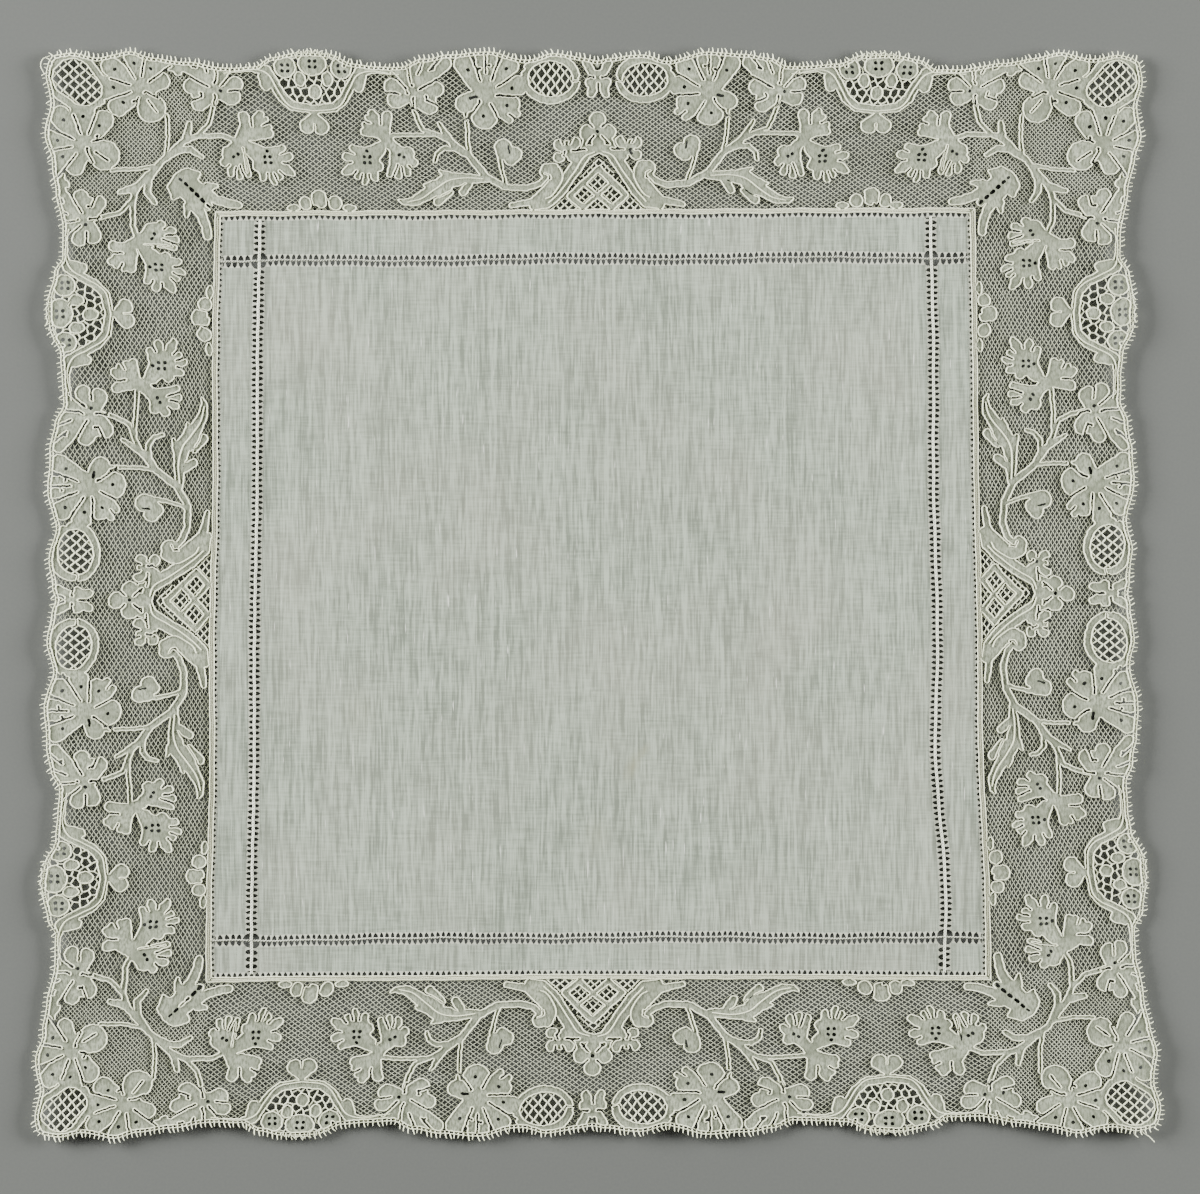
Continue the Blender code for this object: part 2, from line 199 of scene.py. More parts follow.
TULIP_GAPS = ((110, 3.0, 7.0), (72, 3.0, 7.0), (271, 2.2, 7.0), (-6, 2.2, 5.6), (184, 2.2, 5.6))

# Pinholes in the clothwork, in degrees and mm: heading, distance
LARGE_PINS = ((54, 8.4), (78, 7.2), (99, 8.0), (131, 9.2), (166, 7.6), (205, 6.8), (277, 5.8), (316, 2.4))
CORNER_PINS = ((122, 7.0), (80, 7.4), (37, 9.0), (2, 8.0), (322, 6.6), (222, 1.6), (300, 4.2))
SMALL_PINS = ((95, 2.4), (10, 1.3), (187, 4.4), (133, 9.6), (250, 1.2))
CLUSTER_PINS = ((45, 1.2), (135, 1.2), (225, 1.2), (315, 1.2), (90, 2.5))
DISC_PINS = ((45, 1.25), (135, 1.25), (225, 1.25), (315, 1.25))
PAIR_PINS = ((60, 0.9), (180, 0.9))
TULIP_PINS = ((212, 2.4), (-13, 1.4), (75, 2.2))
BLOSSOM_PINS = ((20, 0.3), (300, 1.2))
ONE_PIN = ((0, 0.0),)
NONE = ()

# Motifs, in mm: lobes, gaps, pinholes, s, t, hub radius, mirrored left to right
MOTIFS = (
    (LARGE_FLOWER, LARGE_GAPS, LARGE_PINS, 33.3, 150.7, 2.4, False),
    (CORNER_FLOWER, CORNER_GAPS, CORNER_PINS, 135.7, 151.3, 2.6, False),
    (SMALL_FLOWER, SMALL_GAPS, SMALL_PINS, 54.5, 150.7, 1.8, False),
    (SMALL_FLOWER, SMALL_GAPS, SMALL_PINS, 112.6, 150.8, 1.8, True),
    (SIDE_PETAL, NONE, NONE, 124.4, 158.1, 1.6, False),
    (UPPER_LEAFLET, UPPER_GAPS, NONE, 64.0, 140.2, 3.0, False),
    (LEFT_LEAFLET, LEFT_GAPS, PAIR_PINS, 58.4, 132.0, 3.1, False),
    (RIGHT_LEAFLET, RIGHT_GAPS, CLUSTER_PINS, 68.2, 131.2, 3.7, False),
    (UPPER_LEAFLET, UPPER_GAPS, NONE, 102.6, 139.4, 3.0, True),
    (LEFT_LEAFLET, LEFT_GAPS, PAIR_PINS, 107.8, 131.8, 3.1, True),
    (RIGHT_LEAFLET, RIGHT_GAPS, CLUSTER_PINS, 98.4, 131.0, 3.7, True),
    (BLOSSOM, BLOSSOM_GAPS, BLOSSOM_PINS, 9.6, 133.7, 1.6, False),
    (STAR_FLOWER, STAR_GAPS, ONE_PIN, 0.0, 139.3, 1.8, False),
    (TULIP, TULIP_GAPS, TULIP_PINS, 0.0, 155.5, 2.3, False),
    (NONE, NONE, DISC_PINS, 84.2, 158.6, 0.0, False),
    (NONE, NONE, DISC_PINS, 75.6, 157.2, 0.0, False),
    (NONE, NONE, DISC_PINS, 92.4, 157.2, 0.0, False),
    (NONE, NONE, ONE_PIN, 84.4, 116.5, 0.0, False),
)

# Stems, bands and long leaves as chains of circles, in mm: mirrored, then s, t, radius
CHAINS = (
    # main stem from the curl to the twig
    (False, ((15.7, 125.9, 0.8), (17.4, 124.3, 0.9), (21.3, 122.9, 0.95), (27.8, 123.3, 0.95),
             (33.6, 126.6, 1.0), (38.2, 132.8, 0.9), (44.0, 137.3, 0.8), (47.3, 138.9, 0.6))),
    # twig to the vine leaf, joining its three leaflets
    (False, ((47.3, 138.9, 0.6), (53.8, 138.9, 0.5), (61.0, 138.4, 0.6))),
    (True, ((61.3, 136.4, 1.4), (63.9, 139.4, 2.2))),
    (True, ((61.3, 136.2, 1.3), (58.4, 132.4, 2.4))),
    (True, ((61.7, 136.2, 1.3), (67.6, 132.2, 2.8))),
    # stems of the large flower, the small flower and the bud
    (False, ((38.2, 132.8, 0.5), (38.7, 138.0, 0.45), (39.0, 146.0, 0.5))),
    (False, ((47.3, 139.0, 0.5), (51.3, 140.4, 0.55), (53.2, 144.5, 0.55), (54.5, 149.5, 0.6))),
    (False, ((27.3, 124.0, 0.5), (28.6, 128.0, 0.45), (29.5, 132.0, 0.6))),
    # bud in two halves
    (False, ((28.4, 135.6, 2.5), (28.4, 133.9, 2.2))),
    (False, ((25.2, 133.4, 2.3), (26.4, 132.0, 1.8))),
    # upright sprout and hooked sprout
    (False, ((42.6, 135.6, 0.95), (44.9, 139.1, 0.8), (46.9, 142.5, 0.45))),
    (False, ((38.6, 132.6, 0.5), (42.0, 134.7, 0.6), (45.5, 134.9, 0.7), (47.7, 133.2, 0.6),
             (48.3, 130.8, 0.5))),
    # acanthus leaf, its points and its lower lobes
    (False, ((33.5, 125.7, 1.0), (39.6, 125.8, 1.8), (44.6, 125.4, 2.4), (48.4, 122.5, 2.3),
             (51.2, 120.5, 1.8), (55.0, 118.3, 1.4), (58.2, 117.9, 0.8), (59.6, 118.7, 0.3))),
    (False, ((44.5, 127.0, 1.2), (46.9, 128.1, 0.4))),
    (False, ((49.2, 123.8, 1.2), (51.8, 123.3, 0.4))),
    (False, ((39.0, 124.0, 1.3), (40.7, 121.3, 1.1))),
    (False, ((45.3, 121.6, 1.7), (48.2, 118.2, 1.3))),
    # scroll and its foot
    (False, ((14.9, 128.2, 2.4), (13.2, 128.8, 1.6), (12.3, 126.9, 1.6), (13.6, 123.6, 1.8),
             (16.1, 120.8, 1.8), (19.3, 118.1, 1.2), (25.8, 116.9, 0.8))),
    # arch with its horn, chevron and crossed bars
    (False, ((0.0, 134.0, 1.1), (3.8, 133.6, 2.0), (7.6, 127.6, 1.9), (11.5, 121.6, 2.0),
             (15.2, 117.8, 2.0), (19.0, 116.4, 1.1))),
    (False, ((4.0, 134.0, 1.3), (3.9, 136.2, 0.9))),
    (False, ((0.0, 128.6, 0.85), (8.3, 119.8, 0.85), (4.3, 115.9, 0.8))),
    (False, ((3.6, 123.2, 0.55), (0.0, 119.8, 0.6), (4.3, 115.9, 0.8))),
    # ribbon round the medallion and the sprout that hangs from it
    (True, ((57.7, 156.6, 1.3), (61.6, 157.6, 1.3), (66.2, 157.7, 1.35), (70.1, 156.5, 1.35),
            (72.7, 152.7, 1.3), (74.8, 149.0, 1.3), (78.0, 146.4, 1.25), (84.0, 145.6, 1.2))),
    (True, ((69.0, 155.0, 1.0), (70.2, 152.3, 1.5))),
    # heart below the medallion
    (False, ((84.0, 144.1, 0.7), (82.0, 140.8, 2.4))),
    (False, ((84.0, 144.1, 0.7), (86.1, 140.9, 2.3))),
    # corner stems, sprout and hook
    (False, ((105.0, 135.2, 0.6), (108.0, 136.6, 0.6), (111.3, 137.9, 0.65), (118.6, 137.7, 0.7),
             (122.3, 136.6, 0.9), (125.3, 134.0, 0.95), (128.4, 131.2, 0.9), (130.4, 129.8, 0.8))),
    (False, ((122.3, 136.6, 1.2), (121.2, 141.3, 0.7))),
    (False, ((117.9, 131.4, 0.6), (121.0, 133.5, 0.9), (124.7, 133.2, 0.9), (128.2, 131.2, 0.8))),
    (False, ((128.8, 131.4, 0.5), (127.8, 137.0, 0.45), (127.8, 143.6, 0.5))),
    (False, ((118.6, 138.0, 0.6), (114.9, 141.7, 0.55), (112.9, 148.4, 0.65))),
    # lance leaf along the diagonal, with two lobes and its tail
    (False, ((125.0, 125.0, 1.4), (121.6, 123.4, 1.9), (118.2, 120.8, 1.9), (114.8, 118.8, 1.3),
             (111.2, 117.6, 1.2), (108.4, 117.2, 1.1))),
    (False, ((117.2, 116.9, 1.2), (125.2, 124.8, 1.6))),
    (False, ((125.6, 125.6, 1.0), (122.8, 126.8, 1.3), (120.0, 126.4, 0.7))),
    (False, ((121.2, 124.8, 1.3), (119.4, 126.4, 0.6))),
    (False, ((117.2, 122.4, 1.3), (114.2, 122.8, 0.5))),
)

# Discs and small ovals of clothwork, in mm: mirrored, s, t, half length, half width
DISCS = (
    (False, 84.3, 158.6, 4.2, 3.4),
    (True, 75.6, 157.4, 3.1, 3.1),
    (True, 79.9, 154.2, 1.6, 2.0),
    (False, 83.8, 150.6, 1.8, 2.0),
    (False, 83.4, 119.0, 2.7, 2.9),
    (False, 78.7, 117.8, 2.0, 2.2),
    (False, 87.7, 117.7, 1.9, 2.1),
    (False, 74.4, 116.3, 2.0, 1.0),
    (False, 91.4, 116.3, 2.0, 1.0),
)
PIN_RADIUS = 0.60

# Slits that part two shapes, in mm: mirrored, s, t to s, t, half width
SLITS = (
    (True, 62.4, 134.6, 63.2, 127.0, 0.24),
    (False, 26.5, 134.0, 27.0, 136.2, 0.30),
    (False, 39.6, 124.5, 43.0, 122.7, 0.20),
    (False, 43.0, 122.7, 47.2, 120.0, 0.20),
    (False, 47.2, 120.0, 49.6, 119.0, 0.20),
    (False, 15.9, 127.6, 14.4, 126.8, 0.24),
    (False, 14.4, 126.8, 14.4, 125.2, 0.30),
    (False, 4.6, 154.2, 7.6, 153.8, 0.24),
    (False, 84.05, 141.4, 84.05, 137.8, 0.22),
    (False, 81.0, 120.8, 81.2, 116.4, 0.26),
    (False, 86.1, 120.7, 85.8, 116.4, 0.26),
    (False, 116.90, 116.65, 117.50, 117.23, 0.55),
    (False, 118.50, 118.21, 119.10, 118.80, 0.57),
    (False, 120.10, 119.78, 120.70, 120.37, 0.57),
    (False, 121.70, 121.35, 122.30, 121.93, 0.54),
    (False, 123.30, 122.91, 123.85, 123.45, 0.50),
    (False, 124.80, 124.38, 125.25, 124.82, 0.42),
)
GAP_HALF = 0.44

# Lines of outline thread laid on the clothwork, in mm: mirrored, then s, t
VEINS = (
    (True, ((58.0, 157.0), (66.2, 158.0), (70.6, 156.6), (73.2, 152.6), (75.4, 148.9), (78.3, 146.8),
            (84.0, 146.0))),
    (False, ((1.2, 134.0), (4.4, 132.6), (7.4, 127.6), (11.4, 121.6), (14.6, 118.0))),
    (False, ((10.9, 128.8), (10.8, 125.4), (13.4, 120.8), (15.6, 119.4))),
    (False, ((34.4, 126.2), (40.4, 126.6), (44.8, 125.6), (48.4, 122.9), (52.8, 119.6), (57.4, 118.2))),
)

# Loose ends of thread, in mm, in the plane of the true square: x, y
STRAY_ENDS = (
    ((156.0, -160.4), (156.6, -162.6), (158.4, -164.2), (159.8, -165.9)),
    ((154.4, -160.6), (154.2, -163.0), (155.3, -164.4)),
    ((-161.0, 161.2), (-163.0, 160.4), (-163.7, 158.2), (-162.7, 155.8)),
)

# Windows with an open filling, in mm: s, t, half length, half width, tilt in degrees
OVAL = (14.3, 154.7, 6.8, 5.0, 8.0)
OVAL_RING = (14.3, 155.0, 8.8, 7.2, 8.0)
CORNER_WINDOW = (151.0, 151.0, 4.2, 154.6, 154.6, 5.0)
CORNER_BAND = 1.9
MEDALLION_WINDOW = (84.0, 154.0, 11.5, 8.8)
ORNAMENT_APEX = 133.0
ORNAMENT_SLOPE = (0.788, 0.616)


# Shapes of the cloth
def pull_at(rows, u, v):
    """Shift of a square pulled at its four corners and four middles, at u, v from -1 to 1."""
    dx, dy = np.zeros_like(u), np.zeros_like(u)
    for cu, cv, px, py in rows:
        if cu and cv:
            weight = (1 + cu * u) * (1 + cv * v) * (cu * u + cv * v - 1) / 4
        elif cu:
            weight = (1 + cu * u) * (1 - v * v) / 2
        else:
            weight = (1 - u * u) * (1 + cv * v) / 2
        dx += weight * px
        dy += weight * py
    return dx, dy


def pulled(x, y):
    """Where points of the true square lie, before the whole is centred."""
    reach = np.maximum(np.maximum(np.abs(x), np.abs(y)), 1e-6)
    blend = np.clip((reach - CLOTH_HALF) / (BORDER_HALF - CLOTH_HALF), 0.0, 1.2)
    near = np.maximum(reach, CLOTH_HALF)
    inner = pull_at(CLOTH_PULL, x / near, y / near)
    outer = pull_at(BORDER_PULL, x / reach, y / reach)
    return (x + inner[0] * (1 - blend) + outer[0] * blend,
            y + inner[1] * (1 - blend) + outer[1] * blend)


def scallop(s):
    """Outer edge t at s, as a smooth curve through the rows of EDGE."""
    rows = np.array(EDGE)
    s = np.clip(s, 0.0, rows[-1, 0])
    index = np.clip(np.searchsorted(rows[:, 0], s, side="left") - 1, 0, len(rows) - 2)
    share = (s - rows[index, 0]) / (rows[index + 1, 0] - rows[index, 0])
    return rows[index, 1] + (rows[index + 1, 1] - rows[index, 1]) * share * share * (3 - 2 * share)


def turned(s, t, side):
    """Point s along and t out from the middle of a side, in the plane of the true square."""
    x, y = s, t
    for _ in range(side):
        x, y = y, -x
    return x, y


def edge_middle():
    """Middle of the pulled outline, which the model puts on the origin."""
    steps = int(EDGE[-1][0] / EDGE_STEP)
    half = EDGE[-1][0] * np.arange(steps + 1) / steps
    s = np.concatenate([-half[:0:-1], half[:-1]])
    spots = [pulled(*turned(s, scallop(np.abs(s)), side)) for side in SIDES]
    xs, ys = (np.concatenate([spot[axis] for spot in spots]) for axis in (0, 1))
    return (xs.min() + xs.max()) / 2, (ys.min() + ys.max()) / 2


MIDDLE = edge_middle()

# Uneven drawing of the repeats, in mm: amplitude, wave along x, wave along y, phase
SLIP_X = ((0.26, 61.0, 83.0, 0.4), (0.16, 27.0, 19.0, 1.9), (0.07, 9.0, 7.3, 4.1))
SLIP_Y = ((0.26, 77.0, 57.0, 2.6), (0.16, 21.0, 31.0, 5.2), (0.07, 7.7, 9.4, 0.9))
# How far the border has slid as it lies, in mm, every 30 mm clockwise along each side: dx, dy
SLIDE_STEP = 30.0
SLIDE_AT = 140.0
SLIDE_SPREAD = 15.0
SLIDE_GROWS = 14.0
SLIDE_EASES = 148.0
SLIDE_EASE_WIDTH = 10.0
SLIDE_EASED = 0.75
SLIDE = (
    ((0.7, 0.1), (-0.4, -0.8), (0.2, -0.5), (-0.7, -1.2), (0.4, -1.9), (0.4, -0.5),
     (-0.1, -0.7), (-0.2, -0.6), (-0.5, -0.7), (-0.3, -0.4), (-0.6, 0.0)),
    ((-0.3, -0.5), (-1.3, 0.4), (-1.8, 1.0), (-1.1, 1.4), (-1.1, 0.3), (-1.0, 0.4),
     (-2.1, 0.6), (-1.5, 0.3), (-0.1, 0.5), (0.5, 0.2), (0.0, 0.1)),
    ((-0.4, -0.5), (1.2, 0.5), (0.5, 0.2), (0.5, -0.5), (0.1, 0.6), (-0.5, 0.6),
     (-0.3, 0.2), (-1.2, -0.3), (-0.8, -0.5), (-1.2, -0.5), (-0.1, -0.4)),
    ((-1.1, -0.4), (-0.1, 0.2), (1.1, 0.4), (1.3, -0.4), (0.7, 0.0), (0.2, -0.2),
     (1.6, 0.5), (1.9, 1.7), (0.6, 1.3), (0.2, 0.1), (0.4, -0.3)),
)
# Rise of the cloth off the table, in mm: amplitude, wave along x, wave along y, phase
RISE = ((0.22, 140.0, 118.0, 1.1), (0.12, 63.0, 71.0, 3.3), (0.05, 31.0, 27.0, 0.2))
EDGE_RISE = ((0.16, 96.0, 82.0, 2.2), (0.08, 41.0, 47.0, 0.8))
# Height of the cloth's underside off the table, in mm, and where the border lifts further
LIFT = 0.39
LOOSE_FROM = 135.0
LOOSE_WIDTH = 27.0
EDGE_LIFT = 0.15


def waves(rows, x, y):
    """Sum of crossed waves at x, y, from rows of sizes, lengths and phases."""
    total = 0.0
    for size, long_x, long_y, phase in rows:
        level = np.sin(x * math.tau / long_x + phase)
        total = total + size * level * np.cos(y * math.tau / long_y + 1.7 * phase)
    return total


# Small bends of the right drawn-thread row, in mm: y, dx, and how far they reach
ROW_BENDS = ((-45.0, -0.8), (-88.0, 0.9))
ROW_BEND_WIDTH = 13.0
ROW_BEND_LENGTH = 19.0


def slid(x, y, reach):
    """Slide of the border at a point: none at the cloth, and little across the outer edge."""
    total, dx, dy = 1e-9, 0.0, 0.0
    for side in SIDES:
        for number, (slide_x, slide_y) in enumerate(SLIDE[side]):
            s = SLIDE_STEP * (number - (len(SLIDE[side]) - 1) / 2)
            at_x, at_y = turned(s, SLIDE_AT, side)
            weight = np.exp(-((x - at_x) ** 2 + (y - at_y) ** 2) / (2 * SLIDE_SPREAD ** 2))
            total, dx, dy = total + weight, dx + weight * slide_x, dy + weight * slide_y
    grow = np.clip((reach - CLOTH_HALF) / SLIDE_GROWS, 0.0, 1.0) / total
    at_edge = (np.clip((np.abs(place) - SLIDE_EASES) / SLIDE_EASE_WIDTH, 0.0, 1.0) for place in (x, y))
    ease_x, ease_y = (1 - SLIDE_EASED * part for part in at_edge)
    return dx * grow * ease_x, dy * grow * ease_y


def laid(x, y, z):
    """World place in metres of points of the true square, z mm above the cloth's underside."""
    reach = np.maximum(np.abs(x), np.abs(y))
    px, py = pulled(x - waves(SLIP_X, x, y), y - waves(SLIP_Y, x, y))
    slide_x, slide_y = slid(x, y, reach)
    px, py = px + slide_x, py + slide_y
    for bend_y, shift in ROW_BENDS:
        aside, ahead = (x - LADDERS["right"]) / ROW_BEND_WIDTH, (y - bend_y) / ROW_BEND_LENGTH
        px = px + shift * np.exp(-aside ** 2 - ahead ** 2)
    loose = np.clip((reach - LOOSE_FROM) / LOOSE_WIDTH, 0.0, 1.0) ** 2
    rise = LIFT + waves(RISE, x, y) + loose * (EDGE_LIFT + waves(EDGE_RISE, x, y))
    return np.stack([px - MIDDLE[0], py - MIDDLE[1], z + rise], axis=-1) * MM


# Distances to the edges of the lace, on an eighth of the ring
def eighth_grid():
    s = np.arange(EIGHTH_LOW[0], EIGHTH_HIGH[0], EIGHTH_STEP)
    t = np.arange(EIGHTH_LOW[1], EIGHTH_HIGH[1], EIGHTH_STEP)
    return np.meshgrid(s, t)


GRID_S, GRID_T = eighth_grid()


def near_cells(low_s, low_t, high_s, high_t):
    """Slices of the grid that cover a box."""
    cells = []
    for low, high, start, size in ((low_t, high_t, EIGHTH_LOW[1], GRID_S.shape[0]),
                                   (low_s, high_s, EIGHTH_LOW[0], GRID_S.shape[1])):
        first = int((low - start) / EIGHTH_STEP)
        last = int((high - start) / EIGHTH_STEP) + 2
        cells.append(slice(min(max(first, 0), size), min(max(last, 0), size)))
    return tuple(cells)


def stretched(t):
    """The border measures a little wider than the lace was drawn."""
    return t + 0.2 + (t - CLOTH_HALF) / 48.0


def add_capsule(field, s0, t0, r0, s1, t1, r1):
    """Lowers the field to its distance from a band that goes from one circle to another."""
    t0, t1 = stretched(t0), stretched(t1)
    wide = max(r0, r1) + FAR
    cells = near_cells(min(s0, s1) - wide, min(t0, t1) - wide, max(s0, s1) + wide, max(t0, t1) + wide)
    ps, pt = GRID_S[cells] - s0, GRID_T[cells] - t0
    ds, dt = s1 - s0, t1 - t0
    share = np.clip((ps * ds + pt * dt) / max(ds * ds + dt * dt, 1e-9), 0.0, 1.0)
    away = np.hypot(ps - share * ds, pt - share * dt) - (r0 + (r1 - r0) * share)
    field[cells] = np.minimum(field[cells], away)


def add_ellipse(field, s, t, long, wide, tilt=0.0):
    t = stretched(t)
    cells = near_cells(s - long - FAR, t - long - FAR, s + long + FAR, t + long + FAR)
    turn = math.radians(tilt)
    ps, pt = GRID_S[cells] - s, GRID_T[cells] - t
    a = ps * math.cos(turn) + pt * math.sin(turn)
    b = pt * math.cos(turn) - ps * math.sin(turn)
    size = np.hypot(a / long, b / wide)
    slope = np.hypot(a / long**2, b / wide**2)
    away = size * (size - 1.0) / np.maximum(slope, 1e-6)
    field[cells] = np.minimum(field[cells], np.maximum(away, -min(long, wide)))


def polar(s, t, heading, distance, flip):
    turn = math.radians(180.0 - heading if flip else heading)
    return s + distance * math.cos(turn), t + distance * math.sin(turn)


def both_ways(twice):
    """Once as drawn and, where a shape repeats past the scallop's middle, once mirrored."""
    return (False, True) if twice else (False,)


def across(s, flip):
    return 2 * MEDALLION_S - s if flip else s


def draw_motifs(cloth, cuts):
    for lobes, gaps, pins, s, t, hub, flip in MOTIFS:
        for heading, reach, radius in lobes:
            add_capsule(cloth, s, t, hub, *polar(s, t, heading, reach, flip), radius)
        for heading, start, end in gaps:
            near = polar(s, t, heading, start, flip)
            add_capsule(cuts, *near, GAP_HALF, *polar(s, t, heading, end, flip), GAP_HALF)
        for heading, reach in pins:
            spot = polar(s, t, heading, reach, flip)
            add_capsule(cuts, *spot, PIN_RADIUS, *spot, PIN_RADIUS)


def draw_bands(cloth, cuts):
    for twice, route in CHAINS:
        for flip in both_ways(twice):
            for (s0, t0, r0), (s1, t1, r1) in zip(route, route[1:]):
                add_capsule(cloth, across(s0, flip), t0, r0, across(s1, flip), t1, r1)
    for twice, s, t, long, wide in DISCS:
        for flip in both_ways(twice):
            add_ellipse(cloth, across(s, flip), t, long, wide)
    for twice, s0, t0, s1, t1, half in SLITS:
        for flip in both_ways(twice):
            add_capsule(cuts, across(s0, flip), t0, half, across(s1, flip), t1, half)


def draw_windows():
    """Distances to the four kinds of open window, by name."""
    windows = {name: np.full(GRID_S.shape, FAR) for name in ("oval", "corner", "medallion", "ornament")}
    add_ellipse(windows["oval"], *OVAL)
    add_capsule(windows["corner"], *CORNER_WINDOW)
    add_ellipse(windows["medallion"], *MEDALLION_WINDOW)
    side = np.abs(GRID_S) * ORNAMENT_SLOPE[0] + (GRID_T - ORNAMENT_APEX) * ORNAMENT_SLOPE[1]
    windows["ornament"] = np.maximum(side, FOOT_HIGH - 0.6 - GRID_T)
    return windows


def draw_eighth():
    """Distance to the clothwork and to each window over the eighth."""
    cloth = np.full(GRID_S.shape, FAR)
    cuts = np.full(GRID_S.shape, FAR)
    draw_motifs(cloth, cuts)
    draw_bands(cloth, cuts)
    windows = draw_windows()
    add_ellipse(cloth, *OVAL_RING)
    s0, t0, r0, s1, t1, r1 = CORNER_WINDOW
    add_capsule(cloth, s0, t0, r0 + CORNER_BAND, s1, t1, r1 + CORNER_BAND)
    cloth = np.maximum(cloth, -windows["oval"])
    cloth = np.maximum(cloth, -windows["corner"])
    foot = np.maximum(FOOT_LOW - GRID_T, GRID_T - FOOT_HIGH)
    cloth = np.minimum(cloth, foot)
    solid = cloth
    cloth = np.maximum(cloth, -cuts)
    inside = GRID_T - scallop(GRID_S) - EDGE_EASE
    cloth = np.maximum(cloth, inside + LOOP_REACH + EDGE_ROW)
    return {"cloth": cloth, "solid": solid, "edge": inside, **windows}


EIGHTH = draw_eighth()


def distance(name, x, y):
    """Distance read from the eighth, unfolded over the whole ring."""
    s, t = np.minimum(np.abs(x), np.abs(y)), np.maximum(np.abs(x), np.abs(y))
    field = EIGHTH[name]
    column = np.clip((s - EIGHTH_LOW[0]) / EIGHTH_STEP, 0, field.shape[1] - 1.001)
    row = np.clip((t - EIGHTH_LOW[1]) / EIGHTH_STEP, 0, field.shape[0] - 1.001)
    i, j = column.astype(int), row.astype(int)
    u, v = column - i, row - j
    return ((field[j, i] * (1 - u) + field[j, i + 1] * u) * (1 - v)
            + (field[j + 1, i] * (1 - u) + field[j + 1, i + 1] * u) * v)


def cloth_distance(x, y):
    """Distance to the clothwork, with the small unevenness of an edge worked by hand."""
    loose = np.clip((np.maximum(np.abs(x), np.abs(y)) - FOOT_HIGH - 0.3) / 1.5, 0.0, 1.0)
    coarse = np.sin(2.7 * x + 1.3 * np.sin(0.9 * y)) * np.cos(2.4 * y + 1.1 * np.sin(1.1 * x))
    fine = np.sin(4.9 * x + 0.8 * y) * np.cos(4.6 * y - 1.1 * x)
    return distance("cloth", x, y) + loose * (COARSE_WOBBLE * coarse + FINE_WOBBLE * fine)


# Outlines of the clothwork
def edge_segments(values):
    """Pairs of grid edges that the zero line joins, and where on each edge it passes."""
    count = values.shape[1]
    inside = values < 0
    low, high = values[:-1, :-1], values[1:, 1:]
    code = (inside[:-1, :-1] * 1 + inside[:-1, 1:] * 2 + inside[1:, 1:] * 4 + inside[1:, :-1] * 8)
    j, i = np.nonzero((code > 0) & (code < 15))
    code = code[j, i]
    middle = (low[j, i] + high[j, i] + values[j, i + 1] + values[j + 1, i]) < 0
    corner = j * count + i
    edges = {"bottom": corner * 2, "left": corner * 2 + 1,
             "top": (corner + count) * 2, "right": corner * 2 + 3}
    pairs = []
    joins = {
        (1, 14): ("left", "bottom"), (2, 13): ("bottom", "right"), (4, 11): ("right", "top"),
        (8, 7): ("top", "left"), (3, 12): ("left", "right"), (6, 9): ("bottom", "top"),
    }
    for codes, (first, second) in joins.items():
        pick = np.isin(code, codes)
        pairs.append(np.stack([edges[first][pick], edges[second][pick]], axis=1))
    for saddle, full in ((5, True), (10, False)):
        for joined in (True, False):
            pick = (code == saddle) & (middle == joined)
            ways = (("left", "bottom"), ("right", "top"))
            if joined == full:
                ways = (("left", "top"), ("bottom", "right"))
            for first, second in ways:
                pairs.append(np.stack([edges[first][pick], edges[second][pick]], axis=1))
    return np.concatenate(pairs)


def edge_point(values, origin, step, edge):
    count = values.shape[1]
    corner, upright = edge // 2, edge % 2
    j, i = corner // count, corner % count
    here = values[j, i]
    there = values[j + upright, i + 1 - upright]
    share = here / np.where(np.abs(here - there) < 1e-9, 1.0, here - there)
    return origin + (i + share * (1 - upright)) * step, origin + (j + share * upright) * step


def linked(pairs):
    """Closed loops of grid edges."""
    beside = {}
    for a, b in pairs.tolist():
        beside.setdefault(a, []).append(b)
        beside.setdefault(b, []).append(a)
    loops, seen = [], set()
    for start in beside:
        if start in seen:
            continue
        loop, now = [start], start
        seen.add(start)
        while True:
            ahead = next((other for other in beside[now] if other not in seen), None)
            if ahead is None:
                break
            seen.add(ahead)
            loop.append(ahead)
            now = ahead
        if len(loop) > 5:
            loops.append(np.array(loop))
    return loops


def evenly(points, spacing, least=6):
    """The same closed loop with points an even distance apart."""
    closed = np.vstack([points, points[:1]])
    walked = np.concatenate([[0.0], np.cumsum(np.hypot(*np.diff(closed, axis=0).T))])
    count = max(least, int(round(walked[-1] / spacing)))
    at = np.arange(count) * walked[-1] / count
    return np.stack([np.interp(at, walked, closed[:, 0]), np.interp(at, walked, closed[:, 1])], axis=1)


def clothwork_loops():
    axis = np.arange(-RING_HALF, RING_HALF + RING_STEP, RING_STEP)
    x, y = np.meshgrid(axis, axis)
    values = cloth_distance(x, y)
    values = np.where(np.maximum(np.abs(x), np.abs(y)) < CLOTH_HALF - 1.0, FAR, values)
    loops = []
    for loop in linked(edge_segments(values)):
        px, py = edge_point(values, -RING_HALF, RING_STEP, loop)
        loops.append(np.stack([px, py], axis=1))
    return loops


# Meshes and thread
def mesh_object(name, points, edges=(), faces=()):
    mesh = bpy.data.meshes.new(name)
    mesh.from_pydata(points if isinstance(points, list) else points.tolist(), edges, faces)
    mesh.update()
    made = bpy.data.objects.new(name, mesh)
    bpy.context.scene.collection.objects.link(made)
    return made


def add(tree, kind, settings=(), inputs=()):
    """A node with its settings, and each input linked to a socket or set to a value."""
    made = tree.nodes.new(kind)
    for key, value in dict(settings).items():
        setattr(made, key, value)
    for key, value in dict(inputs).items():
        if isinstance(value, bpy.types.NodeSocket):
            tree.links.new(value, made.inputs[key])
        else:
            made.inputs[key].default_value = value
    return made


